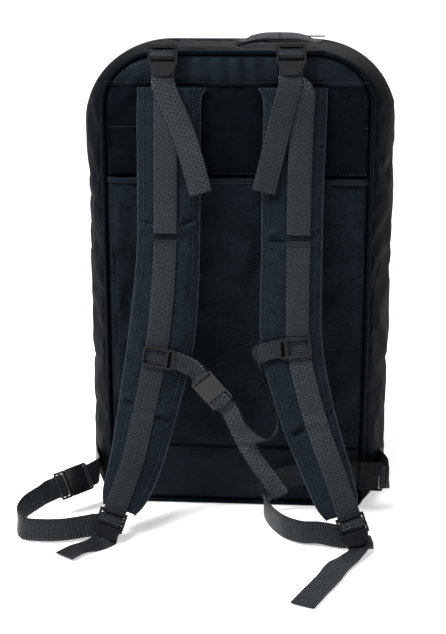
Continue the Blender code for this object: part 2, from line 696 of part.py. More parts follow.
def lower_web(side):
    """The slack web from the male side buckle, on its edge over the floor, to just under the adjuster."""
    start, ahead = SIDE_BUCKLE[side]
    frame = buckle_frame(start, ahead)
    out = FEMALE_LONG + GAP + MALE_LONG
    first = frame @ Vector((out + 2 * GAP, 0, 0))
    adj = adjuster_frame(side)
    low = -LOCK_THICK / 2 - GAP - WEB_THICK / 2
    middle = -0.0070 - WEB_WIDE / 2
    ends = [adj @ Vector((-reach, middle, low - 0.0004)) for reach in (LOCK_WIDE / 2 - 0.0045, -0.006)]
    points = [first, first + frame.to_3x3() @ Vector((0.008, 0, 0))]
    points += [Vector(p) for p in LOWER_ROUTE[side]] + ends
    across = [frame.to_3x3() @ Vector((0, 1, 0))] * 2
    across = [a if a.z > 0 else -a for a in across] + [EDGE_UP] * len(LOWER_ROUTE[side])
    across += [adj.to_3x3() @ Vector((0, 1, 0))] * 2
    ribbon(f"lower_web_{side}", points, across, WEB_WIDE - 0.001, WEB_THICK, "webbing", per=3)


def side_anchor(side):
    """The web from the side wall, low down, to the female buckle's bar."""
    sign = SIDES[side]
    start, ahead = SIDE_BUCKLE[side]
    frame = buckle_frame(start, ahead)
    z = start.z
    bar = frame @ Vector((-6 * GAP, 0, 0))
    y_sewn = -0.050
    lift = GAP + WEB_THICK / 2 + 0.0002
    sewn = [skin(sign, z, y_sewn, lift), skin(sign, z, y_sewn - 0.008, lift + 0.0006)]
    turn = [Vector((x, y, z)) for x, y in ANCHOR_TURN[side]]
    points = sewn + turn + [frame @ Vector((-0.006, 0, 0)), bar]
    up = frame.to_3x3() @ Vector((0, 1, 0))
    up = up if up.z > 0 else -up
    across = [Vector((0, 0, 1))] * (len(points) - 2) + [up] * 2
    ribbon(f"side_anchor_{side}", points, across, WEB_WIDE, WEB_THICK, "webbing", per=3)


def side_buckle(side):
    start, ahead = SIDE_BUCKLE[side]
    side_release(f"side_buckle_female_{side}", f"side_buckle_male_{side}", buckle_frame(start, ahead),
                 WEB_WIDE)


# Sternum strap

def slider_frame(side):
    return strap_station(side, STERNUM_Z[side], 2 * GAP + WEB_THICK + SLIDER_PLAY + SLIDER_THICK / 2)


def sternum_slider(side):
    """A frame that lies over the strap's webbing, with a loop on its inner side."""
    inward = -SIDES[side]
    half, high = SLIDER_LONG / 2, SLIDER_HIGH / 2
    low_x, high_x = sorted((-inward * half, inward * (half + SLIDER_LOOP)))
    window = half - SLIDER_RIM
    slot_x = sorted((inward * (half + 0.0005), inward * (half + SLIDER_LOOP - 0.0027)))
    slot_high = SMALL_WEB_WIDE / 2 - 0.0015
    plate(f"sternum_slider_{side}", [rounded(low_x, -high, high_x, high, 0.003, 2),
                                     rectangle(-window, SLIDER_RIM - high, window, high - SLIDER_RIM),
                                     rectangle(slot_x[0], -slot_high, slot_x[1], slot_high)],
          SLIDER_THICK, slider_frame(side), "buckle")


def sternum_frame():
    """The sternum buckle's frame, in its hanging plane."""
    a = math.radians(STERNUM_TURN)
    ahead = Vector((math.cos(a), 0, -math.sin(a)))
    out = Vector((0, -1, 0))
    return Matrix.Translation(STERNUM_BUCKLE) @ Matrix((ahead, out.cross(ahead), out)).transposed().to_4x4()


def from_face(route):
    """A sternum web's points, with their depths taken from a strap's face."""
    return [Vector((x, STRAP_FACE + y, z)) for x, y, z in route]


def sternum_strap():
    frame = sternum_frame()
    side_release("sternum_buckle_female", "sternum_buckle_male", frame, SMALL_WEB_WIDE)
    left, right = slider_frame("left"), slider_frame("right")
    reach = SLIDER_LONG / 2 + SLIDER_LOOP
    up = frame.to_3x3() @ Vector((0, 1, 0))
    wide = SMALL_WEB_WIDE - 0.001
    start = left @ Vector((reach + 4 * GAP, 0, 0))
    end = frame @ Vector((-4 * GAP, 0, 0))
    points = [start, left @ Vector((reach + 0.006, 0, 0)), frame @ Vector((-0.011, 0, 0)), end]
    across = [left.to_3x3() @ Vector((0, 1, 0))] * 2 + [up] * 2
    ribbon("sternum_web_left", points, across, wide, 2 * WEB_THICK, "webbing")
    start = right @ Vector((-reach - 4 * GAP, 0, 0))
    points = [start, right @ Vector((-reach - 0.006, 0, -0.0005))] + from_face(FOLD_ROUTE)
    across = [right.to_3x3() @ Vector((0, 1, 0))] * 2 + [Vector(a) for a in FOLD_ACROSS]
    ribbon("sternum_fold_right", points, across, wide, 2 * WEB_THICK, "webbing")
    out = FEMALE_LONG + GAP + MALE_LONG
    for name, layer, route, turns in (("sternum_loop", 0.0015, LOOP_ROUTE, LOOP_ACROSS),
                                      ("sternum_tail", -0.0015, STERNUM_TAIL_ROUTE, STERNUM_TAIL_ACROSS)):
        points = [frame @ Vector((out + reach, 0, layer)) for reach in (5 * GAP, 0.010)]
        ribbon(name, points + from_face(route), [up, up] + [Vector(a) for a in turns],
               wide, WEB_THICK, "webbing")


# Zip sliders and pulls

def zip_slider(name, frame, neck_down):
    """A slider: a plate with an arch for the pull and, on the main zip, a neck and an inner plate."""
    long, wide, thick = PLATE / 2
    body = box(name, (-long, -wide, 0), (long, wide, 2 * thick), "buckle", frame=frame)
    for tag, low, high in (("post_a", (-0.0033, -0.0007, thick), (-0.0021, 0.0007, 0.0050)),
                           ("post_b", (0.0021, -0.0007, thick), (0.0033, 0.0007, 0.0050)),
                           ("beam", (-0.0033, -0.0007, 0.0040), (0.0033, 0.0007, 0.0052))):
        cut(body, box(f"{name}_{tag}", low, high, None, CUTTERS, frame), "UNION")
    if neck_down:
        under = -TAPE_THICK - 4 * GAP
        half = ZIP_SLOT / 2 - 0.0012
        cut(body, box(f"{name}_neck", (-0.0015, -0.0008, under - thick), (0.0015, 0.0008, thick), None,
                      CUTTERS, frame), "UNION")
        cut(body, box(f"{name}_inner", (-long + 0.0005, -half, under - 0.0015),
                      (long - 0.0005, half, under), None, CUTTERS, frame), "UNION")


def zip_pull(name, frame):
    """A pull tab whose end bar lies under the slider's arch; the frame's origin is on its hinge."""
    plate(name, [rounded(-0.0007, -PULL_HALF, 0.0007 + PULL_LONG, PULL_HALF, 0.0006, 1),
                 rectangle(0.0007, -0.0016, 0.0054, 0.0016)], 0.0012, frame, "zip")


def main_zip():
    zip_tape("rear_zip_tape", -1)
    zip_tape("lid_zip_tape", 1)
    top = HEIGHT + TOP_RISE * BULGE + TAPE_LIFT + TAPE_THICK + GAP
    for side, sign in SIDES.items():
        x = SLIDER_X[side]
        zip_slider(f"zip_slider_{side}", Matrix.Translation((x, ZIP_Y, top)), True)
        turn = Matrix.Rotation(0 if sign > 0 else math.pi, 4, "Z")
        hinge = Matrix.Translation((x, ZIP_Y, top + PLATE.z + 0.0010))
        zip_pull(f"zip_pull_{side}", hinge @ turn)


def front_of_lid():
    face = FRONT_Y + GAP
    thick = 0.0015
    front = frame_at(Vector((0, 0, 0)), (-1, 0, 0), (0, 0, 1))
    plate("lid_pocket", [rounded(-POCKET_HALF, POCKET_LOW, POCKET_HALF, POCKET_TOP, 0.030, 4)], POCKET_DEEP,
          Matrix.Translation((0, face + POCKET_DEEP / 2, 0)) @ front, "nylon")
    plate("patch_field", [rounded(-PATCH_HALF, PATCH_LOW, PATCH_HALF, PATCH_TOP, 0.008, 3)], thick,
          Matrix.Translation((0, face + thick / 2, 0)) @ front, "strap_fabric")
    tape_y = face + POCKET_DEEP + GAP
    box("pocket_zip", (-POCKET_HALF + 0.012, tape_y, POCKET_ZIP_Z - 0.006),
        (POCKET_HALF - 0.012, tape_y + 0.0012, POCKET_ZIP_Z + 0.006), "zip")
    slide = frame_at(Vector((0.090, tape_y + 0.0012 + GAP, POCKET_ZIP_Z)), (-1, 0, 0), (0, 0, 1))
    zip_slider("pocket_slider", slide, False)
    down = frame_at(Vector((0.090, tape_y + 0.0012 + GAP + PLATE.z + 0.0010, POCKET_ZIP_Z)),
                    (1, 0, 0), (0, 0, -1))
    zip_pull("pocket_pull", down)
    box("mesh_pocket", (-0.115, FRONT_Y - WALL - GAP - 0.004, 0.080),
        (0.115, FRONT_Y - WALL - GAP, 0.260), "lining")


def inside():
    y = BACK_Y + WALL + GAP
    plate("frame_sheet", [rounded(-SHEET_HALF, 0.020, SHEET_HALF, 0.470, 0.020, 3)], SHEET_THICK,
          facing_back(0, y + SHEET_THICK / 2, 0), "sheet")
    y += SHEET_THICK + GAP
    for side, sign in SIDES.items():
        box(f"stay_{side}", (sign * STAY_X - STAY_WIDE / 2, y, 0.030),
            (sign * STAY_X + STAY_WIDE / 2, y + STAY_THICK, 0.460), "aluminium")
    y += STAY_THICK + GAP
    shares = [t for t in steps(6, (y - BACK_Y) / (FRONT_Y - BACK_Y), 0.57)]
    for name, z in DIVIDER_Z.items():
        right = []
        for share in shares:
            depth = BACK_Y + (FRONT_Y - BACK_Y) * share
            right.append((SEAM_HALF + bulge(depth) - WALL * 1.5 - 2 * GAP, depth))
        shape = right + [(-x, d) for x, d in reversed(right)]
        plate(f"divider_{name}", [shape], DIVIDER_THICK, Matrix.Translation((0, 0, z)), "lining")


def carry_handle():
    """The webbing handle on top, sewn down at both ends and standing in a low arch between them."""
    top = HEIGHT + TOP_RISE * bulge(HANDLE_Y) + GAP + WEB_THICK + 0.0004
    foot, rise = HANDLE_HALF, HANDLE_RISE
    points = [(HANDLE_X + foot * u, HANDLE_Y, top + rise * v) for u, v in
              ((-1.0, 0), (-0.80, 0.02), (-0.62, 0.55), (-0.36, 0.94), (0, 1.04), (0.36, 0.94), (0.62, 0.55),
               (0.80, 0.02), (1.0, 0))]
    ribbon("carry_handle", points, (0, 1, 0), WEB_WIDE, 2 * WEB_THICK, "webbing", per=2,
           origin=(HANDLE_X, HANDLE_Y, top))


clear_scene()
PARTS = new_collection("trauma_backpack")
CUTTERS = new_collection("cutters")
body_shell("rear_shell", ZIP_SLOT / 2, "DIFFERENCE")
body_shell("lid_shell", -ZIP_SLOT / 2, "INTERSECT")
back_panels()
piping("back_piping", BACK_Y - GAP - PIPING_R, 0, 1, True)
piping("lid_piping", FRONT_Y + GAP + PIPING_R, HINGE_Z + ZIP_SLOT / 2 + GAP, 1, False)
piping("base_piping", FRONT_Y + GAP + PIPING_R, 0, HINGE_Z - ZIP_SLOT, False)
main_zip()
front_of_lid()
inside()
carry_handle()
for strap in SIDES:
    strap_pad(strap)
    strap_web(strap)
    top_lock(strap)
    lifter_web(strap)
    adjuster(strap)
    adjuster_tail(strap)
    side_buckle(strap)
    side_anchor(strap)
    lower_web(strap)
    sternum_slider(strap)
sternum_strap()
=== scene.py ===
"""Looks of the trauma backpack: cloth, padding, webbing, buckles and light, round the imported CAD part."""

import math

import bmesh
import bpy
import numpy as np
from mathutils import Matrix, Vector, noise


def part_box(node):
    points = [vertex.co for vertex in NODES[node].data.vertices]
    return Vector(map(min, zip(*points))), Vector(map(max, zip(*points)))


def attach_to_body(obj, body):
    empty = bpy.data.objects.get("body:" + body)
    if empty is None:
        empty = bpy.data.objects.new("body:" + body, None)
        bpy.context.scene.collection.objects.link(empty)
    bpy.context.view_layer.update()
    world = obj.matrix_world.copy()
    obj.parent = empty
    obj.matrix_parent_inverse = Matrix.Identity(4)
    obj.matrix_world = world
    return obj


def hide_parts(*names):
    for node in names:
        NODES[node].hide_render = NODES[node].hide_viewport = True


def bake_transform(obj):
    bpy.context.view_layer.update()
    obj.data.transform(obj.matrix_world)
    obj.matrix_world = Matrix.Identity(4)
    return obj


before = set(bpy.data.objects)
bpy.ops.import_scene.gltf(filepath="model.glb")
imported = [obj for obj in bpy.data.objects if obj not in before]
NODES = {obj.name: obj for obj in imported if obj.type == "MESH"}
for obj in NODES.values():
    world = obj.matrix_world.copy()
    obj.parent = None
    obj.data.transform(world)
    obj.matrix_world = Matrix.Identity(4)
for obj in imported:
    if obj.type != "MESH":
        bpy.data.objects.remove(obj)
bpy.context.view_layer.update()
SCENE = bpy.context.scene



def corners(name):
    """The low and the high corner of a node's box."""
    return [Vector(c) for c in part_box(name)]


# The body, read from the frame
SHELL_LOW, SHELL_HIGH = corners("rear_shell")
BACK_Y, FRONT_Y = SHELL_LOW.y, SHELL_HIGH.y
PIPING_R = 0.0025
SEAM_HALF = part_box("lid_piping")[1][0] - PIPING_R
BULGE = SHELL_HIGH.x - SEAM_HALF
TOP_RISE = 0.25
HEIGHT = SHELL_HIGH.z - TOP_RISE * BULGE
TOP_FLAT, TOP_DROP, BASE_ROUND = 0.078, 0.055, 0.014
GAP, WALL = 0.0003, 0.003
ZIP_Y, ZIP_TURN_Z, HINGE_Z, ZIP_HALF = 0.010, 0.130, 0.030, 0.0045
BASE_TOP, PAD_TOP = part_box("back_pad")[0][2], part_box("pad_binding")[1][2]
YOKE_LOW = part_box("yoke_panel")[0][2]
PAD_THICK, YOKE_THICK, BAND_THICK = 0.007, 0.006, 0.002
# Places over a top corner and on to the middle of the top, as skin() takes them
TOP_PLACES = [1 + k / 22 for k in range(22)] + [2 + k / 12 + 1e-6 for k in range(13)]
CROSS_SEAM_Z = 0.159
OVER_TOP_Z = 0.45  # above this a body point counts as on the top
REST_Z = 0.0004  # the lowest that cloth lies, clear of the floor
PANEL_INSET = 0.0035
POCKET_CORNER = 0.03

# Straps
STRAP_THICK = 0.012
STRAP_X = {"left": (-0.0715, -0.0715, -0.0712, -0.0710, -0.0712, -0.0745, -0.0805, -0.0935, -0.1060, -0.1210),
           "right": (0.0620, 0.0620, 0.0618, 0.0605, 0.0605, 0.0605, 0.0630, 0.0800, 0.1010, 0.1185)}
STRAP_WIDE = {"left": (0.065, 0.065, 0.066, 0.066, 0.066, 0.069, 0.070, 0.063, 0.056, 0.046),
              "right": (0.0645, 0.0645, 0.0645, 0.064, 0.063, 0.064, 0.064, 0.058, 0.051, 0.043)}
STRAP_Z = (YOKE_LOW - 0.0009, 0.466, 0.440, 0.380, 0.310, 0.250, 0.197, 0.130, 0.073, 0.030)
STRAP_OUT = (0.0, 0.0001, 0.0050, 0.0130, 0.0220, 0.0300, 0.0370, 0.0480, 0.0630, 0.0850)
SIDES = {"left": -1, "right": 1}
WEB_SHIFT = {"left": -0.003, "right": 0.007}
WEB_WIDE, SMALL_WEB, WEB_THICK = 0.025, 0.020, 0.0012
LIFTER_Z = 0.322
LOCK_BAR, LOCK_SLOT, LOCK_LONG, LOCK_THICK = 0.0035, 0.0055, 0.033, 0.003
LOCK_TOP = {s: (sum(c[0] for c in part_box(f"top_lock_{s}")) / 2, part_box(f"top_lock_{s}")[1][2])
            for s in SIDES}
LAYER = WEB_THICK + 0.0004
LIFTER_TAIL = {"left": ((-0.0735, 0.470), (-0.0560, 0.431), (-0.0455, 0.400), (-0.0360, 0.366)),
               "right": ((0.0545, 0.470), (0.0445, 0.431), (0.0375, 0.400), (0.0300, 0.368))}
STERNUM_Z = {"left": 0.1900, "right": 0.2030}
STERNUM_TURN = 50
STERNUM_BUCKLE = Vector((-0.0345, -0.1560, 0.1740))
FEMALE_LONG, MALE_LONG = 0.026, 0.012
SIDE_BUCKLE = {"left": (Vector((-0.1660, -0.1160, 0.0400)), Vector((-0.80, -0.56, -0.16))),
               "right": (Vector((0.1660, -0.1080, 0.0440)), Vector((-1.0, 0.0, 0.03)))}
TAIL_ROUTE = {"left": ((-0.158, -0.226, 0.0085), (-0.171, -0.244, 0.0050)),
              "right": ((0.116, -0.246, 0.0040), (0.104, -0.275, 0.0025), (0.090, -0.305, 0.0022),
                        (0.078, -0.332, 0.0020))}
LOWER_ROUTE = {"left": ((-0.2125, -0.1530, 0.0300), (-0.2270, -0.1700, 0.0240), (-0.2320, -0.1880, 0.0170),
                        (-0.2230, -0.2030, 0.0140), (-0.2010, -0.2070, 0.0140), (-0.1780, -0.2050, 0.0145),
                        (-0.1560, -0.1990, 0.0160)),
               "right": ((0.0950, -0.1090, 0.0470), (0.0650, -0.1110, 0.0440), (0.0420, -0.1140, 0.0340),
                         (0.0340, -0.1240, 0.0180), (0.0400, -0.1480, 0.0135), (0.0560, -0.1780, 0.0135),
                         (0.0760, -0.1930, 0.0140), (0.0950, -0.1960, 0.0150))}
EDGE_UP = Vector((0, 0.25, 1))
ANCHOR_TURN = {"left": ((-0.1620, -0.0740), (-0.1575, -0.0930)),
               "right": ((0.1700, -0.0700), (0.1730, -0.0860), (0.1720, -0.1000))}
FOLD_ROUTE = ((0.0260, -0.1420, 0.1950), (0.0240, -0.1330, 0.1870), (0.0270, -0.1265, 0.1780))
FOLD_ACROSS = ((-0.25, 0.1, 1), (-0.5, 0.2, 0.9), (-0.4, 0.6, 0.6))
LOOP_ROUTE = ((0.0070, -0.1600, 0.1180), (0.0240, -0.1580, 0.1045), (0.0385, -0.1500, 0.1020),
              (0.0465, -0.1400, 0.1110), (0.0460, -0.1280, 0.1290), (0.0380, -0.1230, 0.1500),
              (0.0300, -0.1210, 0.1680))
LOOP_ACROSS = ((0.6, -0.2, 0.75), (0.5, -0.6, 0.7), (0.1, -1, 0.3), (0, -1, 0), (0, -1, 0), (0, -1, 0),
               (0, -1, 0))
STERNUM_TAIL = ((0.0040, -0.1505, 0.1180), (0.0180, -0.1450, 0.0860), (0.0370, -0.1410, 0.0560),
                (0.0540, -0.1380, 0.0310))
STERNUM_TAIL_ACROSS = ((1, 0, 0.6), (1, 0, 0.55), (1, 0, 0.6), (1, 0, 0.6))
# Creases pressed into the padding: two ends (x, z), depth and width.
CREASES = {"left": (((-0.1180, 0.1354), (-0.0700, 0.1240), 0.0070, 0.0032),
                    ((-0.1060, 0.3370), (-0.0860, 0.3300), 0.0050, 0.0030),
                    ((-0.0540, 0.3330), (-0.0360, 0.3430), 0.0050, 0.0030),
                    ((-0.1060, 0.3180), (-0.0360, 0.3180), 0.0022, 0.0060)),
           "right": (((0.0560, 0.1125), (0.1150, 0.1275), 0.0070, 0.0032),
                     ((0.0280, 0.3180), (0.0510, 0.3165), 0.0050, 0.0030),
                     ((0.0780, 0.3200), (0.0980, 0.3310), 0.0050, 0.0030),
                     ((0.0280, 0.3090), (0.0980, 0.3090), 0.0022, 0.0060))}


# Camera and light

def set_camera():
    data = bpy.data.cameras.new("camera")
    data.lens = 72
    data.sensor_width = 36
    camera = bpy.data.objects.new("camera", data)
    SCENE.collection.objects.link(camera)
    place, target = Vector((0.075, -1.44, 0.60)), Vector((-0.0145, -0.095, 0.2235))
    camera.location = place
    camera.rotation_euler = (target - place).to_track_quat("-Z", "Y").to_euler()
    SCENE.camera = camera


def light(name, place, target, size, power):
    data = bpy.data.lights.new(name, "AREA")
    data.shape = "RECTANGLE"
    data.size, data.size_y = size
    data.energy = power
    lamp = bpy.data.objects.new(name, data)
    SCENE.collection.objects.link(lamp)
    lamp.location = place
    lamp.rotation_euler = (Vector(target) - Vector(place)).to_track_quat("-Z", "Y").to_euler()


def set_light():
    SCENE.view_settings.view_transform = "Standard"
    world = bpy.data.worlds.new("studio")
    world.use_nodes = True
    tree = world.node_tree
    tree.nodes["Background"].inputs["Color"].default_value = (1, 1, 1, 1)
    seen = tree.nodes.new("ShaderNodeLightPath")
    power = tree.nodes.new("ShaderNodeMapRange")
    power.inputs["To Min"].default_value = 0.16
    power.inputs["To Max"].default_value = 1.0
    tree.links.new(seen.outputs["Is Camera Ray"], power.inputs["Value"])
    tree.links.new(power.outputs["Result"], tree.nodes["Background"].inputs["Strength"])
    SCENE.world = world
    light("key", (-1.1, -0.75, 1.5), (0, 0, 0.25), (0.35, 0.35), 34)
    light("fill", (1.3, -1.0, 0.9), (0.1, 0, 0.25), (0.3, 1.2), 7)
    light("back", (0.2, 1.2, 1.5), (0, 0, 0.45), (1.2, 0.5), 18)
    data = bpy.data.lights.new("sun", "SUN")
    data.energy = 3.2
    data.angle = math.radians(28)
    sun = bpy.data.objects.new("sun", data)
    SCENE.collection.objects.link(sun)
    sun.rotation_euler = Vector((0.35, 0.45, -1.0)).to_track_quat("-Z", "Y").to_euler()


# Materials

def shader(name, color, rough):
    mat = bpy.data.materials.new(name)
    mat.use_nodes = True
    tree = mat.node_tree
    main = tree.nodes["Principled BSDF"]
    main.inputs["Base Color"].default_value = (*color, 1)
    main.inputs["Roughness"].default_value = rough
    return mat, tree, main


def node(tree, kind, **inputs):
    made = tree.nodes.new(kind)
    for key, value in inputs.items():
        made.inputs[key.replace("_", " ")].default_value = value
    return made


def wear_and_sheen(tree, color, coords, strength, scale=22.0):
    """Slow variation of colour and roughness: partly wear, as of handled cloth, partly painted sheen in lighter
    and darker patches.
    """
    cloud = node(tree, "ShaderNodeTexNoise", Scale=scale, Detail=5.0, Roughness=0.6)
    tree.links.new(coords, cloud.inputs["Vector"])
    ramp = tree.nodes.new("ShaderNodeValToRGB")
    for stop, place, share in zip(ramp.color_ramp.elements, (0.32, 0.72), (1 - strength, 1 + strength)):
        stop.position = place
        stop.color = (*[c * share for c in color], 1)
    tree.links.new(cloud.outputs["Fac"], ramp.inputs["Fac"])
    return cloud, ramp


def grain_noise(tree, coords, scale, detail):
    fine = node(tree, "ShaderNodeTexNoise", Scale=scale, Detail=detail)
    tree.links.new(coords, fine.inputs["Vector"])
    return fine.outputs["Fac"]


def relief_and_gloss(tree, main, height, bump, distance, cloud, rough, least, most):
    """Bump from a height in metres, and a roughness that the slow wear and sheen noise moves."""
    raised = node(tree, "ShaderNodeBump", Strength=bump, Distance=distance)
    tree.links.new(height, raised.inputs["Height"])
    tree.links.new(raised.outputs["Normal"], main.inputs["Normal"])
    rubbed = node(tree, "ShaderNodeMapRange", To_Min=rough - least, To_Max=rough + most)
    tree.links.new(cloud.outputs["Fac"], rubbed.inputs["Value"])
    tree.links.new(rubbed.outputs["Result"], main.inputs["Roughness"])


def woven(name, color, rough, pitch=(0.0012, 0.0008), bump=0.35, sheen=0.06, strength=0.25, dark=0.55,
          shine=0.22, seam=0.16, lit=1.35, dim=0.60, tint=(0.50, 0.76, 1.0)):
    """Woven cloth or webbing: threads as offset bricks in the UV's metres, coloured as painted highlight on the
    threads and painted shade in the gaps, with slow wear and painted sheen over them.
    """
    mat, tree, main = shader(name, color, rough)
    main.inputs["Sheen Weight"].default_value = sheen
    main.inputs["Sheen Roughness"].default_value = 0.4
    main.inputs["Specular IOR Level"].default_value = shine
    main.inputs["Specular Tint"].default_value = (*tint, 1)
    spot = tree.nodes.new("ShaderNodeTexCoord")
    # Slow colour patches: partly wear, partly painted sheen.
    cloud, ramp = wear_and_sheen(tree, color, spot.outputs["Object"], strength)
    # Painted highlight and shade of the weave: the lit and dim bricks stand for light and shade on the threads,
    # the dark mortar for shade in the gaps between them.
    bricks = node(tree, "ShaderNodeTexBrick", Scale=1.0, Mortar_Size=seam * pitch[1], Mortar_Smooth=1.0,
                  Brick_Width=pitch[0], Row_Height=pitch[1], Color1=(lit, lit, lit, 1),
                  Color2=(dim, dim, dim, 1), Mortar=(dark, dark, dark, 1))
    bricks.offset = 0.5
    tree.links.new(spot.outputs["UV"], bricks.inputs["Vector"])
    mixed = tree.nodes.new("ShaderNodeMix")
    mixed.data_type = "RGBA"
    mixed.blend_type = "MULTIPLY"
    mixed.inputs[0].default_value = 1.0
    tree.links.new(ramp.outputs["Color"], mixed.inputs[6])
    tree.links.new(bricks.outputs["Color"], mixed.inputs[7])
    tree.links.new(mixed.outputs[2], main.inputs["Base Color"])
    height = tree.nodes.new("ShaderNodeMath")
    height.operation = "MULTIPLY_ADD"
    tree.links.new(grain_noise(tree, spot.outputs["Object"], 1400.0, 2.0), height.inputs[0])
    height.inputs[1].default_value = 0.3
    tree.links.new(bricks.outputs["Color"], height.inputs[2])
    relief_and_gloss(tree, main, height.outputs[0], bump, 0.0006, cloud, rough, 0.08, 0.10)
    return mat


def moulded(name, color, rough, grain=0.12, metal=0.0):
    """Moulded plastic or plain metal with a fine grain and slightly uneven gloss."""
    mat, tree, main = shader(name, color, rough)
    main.inputs["Metallic"].default_value = metal
    main.inputs["Specular IOR Level"].default_value = 0.5 if metal else 0.32
    spot = tree.nodes.new("ShaderNodeTexCoord")
    cloud, ramp = wear_and_sheen(tree, color, spot.outputs["Object"], 0.2, 90.0)
    tree.links.new(ramp.outputs["Color"], main.inputs["Base Color"])
    fine = grain_noise(tree, spot.outputs["Object"], 2600.0, 3.0)
    relief_and_gloss(tree, main, fine, grain, 0.0002, cloud, rough, 0.08, 0.12)
    return mat


NYLON = woven("nylon", (0.0034, 0.0045, 0.0062), 0.54, (0.0022, 0.0015), 0.55, 0.005, 0.35, 0.3, shine=0.12,
              seam=0.25, lit=1.7, dim=0.5)
# The same nylon, darker: painted shade for the side walls and top, which otherwise show lighter than the back
# panels under the lamps.
BODY_CLOTH_PAINTED_SHADE = woven("body_cloth", (0.0020, 0.0030, 0.0044), 0.66, (0.0022, 0.0015), 0.55, 0.0, 0.35, 0.3,
                   shine=0.04, seam=0.25, lit=1.7, dim=0.5)
PAD_CLOTH = woven("pad_cloth", (0.0036, 0.0050, 0.0072), 0.50, (0.0030, 0.0020), 0.80, 0.005, 0.40, 0.2,
                  shine=0.08, seam=0.28, lit=1.8, dim=0.5)
DARK = woven("dark_nylon", (0.0018, 0.0025, 0.0038), 0.55, (0.0020, 0.0014), 0.40, 0.003, 0.30, 0.3,
             shine=0.04)
STRAP_CLOTH = woven("strap_cloth", (0.0046, 0.0062, 0.0088), 0.50, (0.0034, 0.0022), 0.90, 0.008, 0.35, 0.2,
                    shine=0.12, seam=0.28, lit=1.8, dim=0.5)
# Binding on the strap edges, lighter than the strap cloth: a painted highlight along the edges.
BINDING_PAINTED_HIGHLIGHT = woven("binding", (0.0100, 0.0130, 0.0170), 0.55, (0.0012, 0.0006), 0.35, 0.04)
WEBBING = woven("webbing", (0.0088, 0.0100, 0.0120), 0.40, (0.0070, 0.0026), 1.0, 0.01, 0.25, 0.02,
                shine=0.26, seam=0.40, lit=1.8, dim=1.1, tint=(0.74, 0.88, 1.0))
GRIP = woven("grip_web", (0.0038, 0.0046, 0.0060), 0.58, (0.0070, 0.0026), 0.8, 0.005, 0.25, 0.05,
             shine=0.10, lit=1.6, dim=1.0)
THREAD = woven("thread", (0.0150, 0.0175, 0.0215), 0.55, (0.0006, 0.0004), 0.2, 0.05)
LINING = woven("lining", (0.085, 0.090, 0.100), 0.80, (0.0010, 0.0008), 0.35, 0.2)
LOOP_CLOTH = woven("loop_cloth", (0.0060, 0.0072, 0.0092), 0.90, (0.0015, 0.0015), 0.9, 0.25, 0.35, 0.4)
TAPE = woven("zip_tape", (0.0045, 0.0054, 0.0068), 0.70, (0.0010, 0.0007), 0.35, 0.03)
BUCKLE = moulded("buckle", (0.0026, 0.0034, 0.0046), 0.26)
COIL = moulded("coil", (0.0070, 0.0078, 0.0090), 0.30)
SHEET = moulded("sheet", (0.02, 0.02, 0.02), 0.45)
BARE_METAL = moulded("bare_metal", (0.60, 0.60, 0.62), 0.35, 0.10, 1.0)


# Meshes

def mesh_object(name, points, faces, corners, mat):
    mesh = bpy.data.meshes.new(name)
    mesh.from_pydata([tuple(p) for p in points], [], faces)
    mesh.materials.append(mat)
    uv = mesh.uv_layers.new(name="UVMap")
    uv.data.foreach_set("uv", np.asarray(corners, np.float32).ravel())
    bm = bmesh.new()
    bm.from_mesh(mesh)
    bmesh.ops.recalc_face_normals(bm, faces=bm.faces)
    bm.to_mesh(mesh)
    bm.free()
    mesh.shade_smooth()
    obj = bpy.data.objects.new(name, mesh)
    SCENE.collection.objects.link(obj)
    return obj


def surface(name, table, mat, around=False, caps=False):
    """A mesh from a table of points. around joins the last column to the first, caps close both ends."""
    points = np.asarray([[tuple(p) for p in row] for row in table], float)
    rows, cols = points.shape[:2]
    wrap = np.concatenate([points, points[:, :1]], axis=1) if around else points
    u = np.concatenate([[0], np.cumsum(np.linalg.norm(np.diff(wrap, axis=1), axis=2).mean(axis=0))])
    v = np.concatenate([[0], np.cumsum(np.linalg.norm(np.diff(points, axis=0), axis=2).mean(axis=1))])
    faces, corners = [], []
    for r in range(rows - 1):
        for c in range(cols if around else cols - 1):
            d = (c + 1) % cols
            faces.append((r * cols + c, r * cols + d, (r + 1) * cols + d, (r + 1) * cols + c))
            corners += [(u[c], v[r]), (u[c + 1], v[r]), (u[c + 1], v[r + 1]), (u[c], v[r + 1])]
    if caps:
        for start in (0, (rows - 1) * cols):
            faces.append(tuple(range(start, start + cols)))
            corners += [(0, 0)] * cols
    return mesh_object(name, points.reshape(-1, 3), faces, corners, mat)


def thicken(obj, thick, inner=None, offset=-1.0):
    step = obj.modifiers.new("thick", "SOLIDIFY")
    step.thickness = thick
    step.offset = offset
    if inner:
        obj.data.materials.append(inner)
        step.material_offset = 1
    return obj


def rough_at(point, scale, seed=0.0):
    return noise.noise(Vector(point) * scale + Vector((seed, seed * 0.7, -seed)))


def between(values, t):
    """A smooth value at t along a list, by Catmull-Rom."""
    last = len(values) - 1
    i = min(int(t), last - 1)
    u = t - i
    p1, p2 = values[i], values[i + 1]
    p0 = values[i - 1] if i else p1 * 2 - p2
    p3 = values[i + 2] if i + 2 <= last else p2 * 2 - p1
    return 0.5 * (2 * p1 + (p2 - p0) * u + (2 * p0 - 5 * p1 + 4 * p2 - p3) * u ** 2
                  + (3 * (p1 - p2) + p3 - p0) * u ** 3)


def frame_at(place, across, along):
    y = Vector(along).normalized()
    x = Vector(across)
    x = (x - x.dot(y) * y).normalized()
    return Matrix.Translation(place) @ Matrix((x, y, x.cross(y))).transposed().to_4x4()


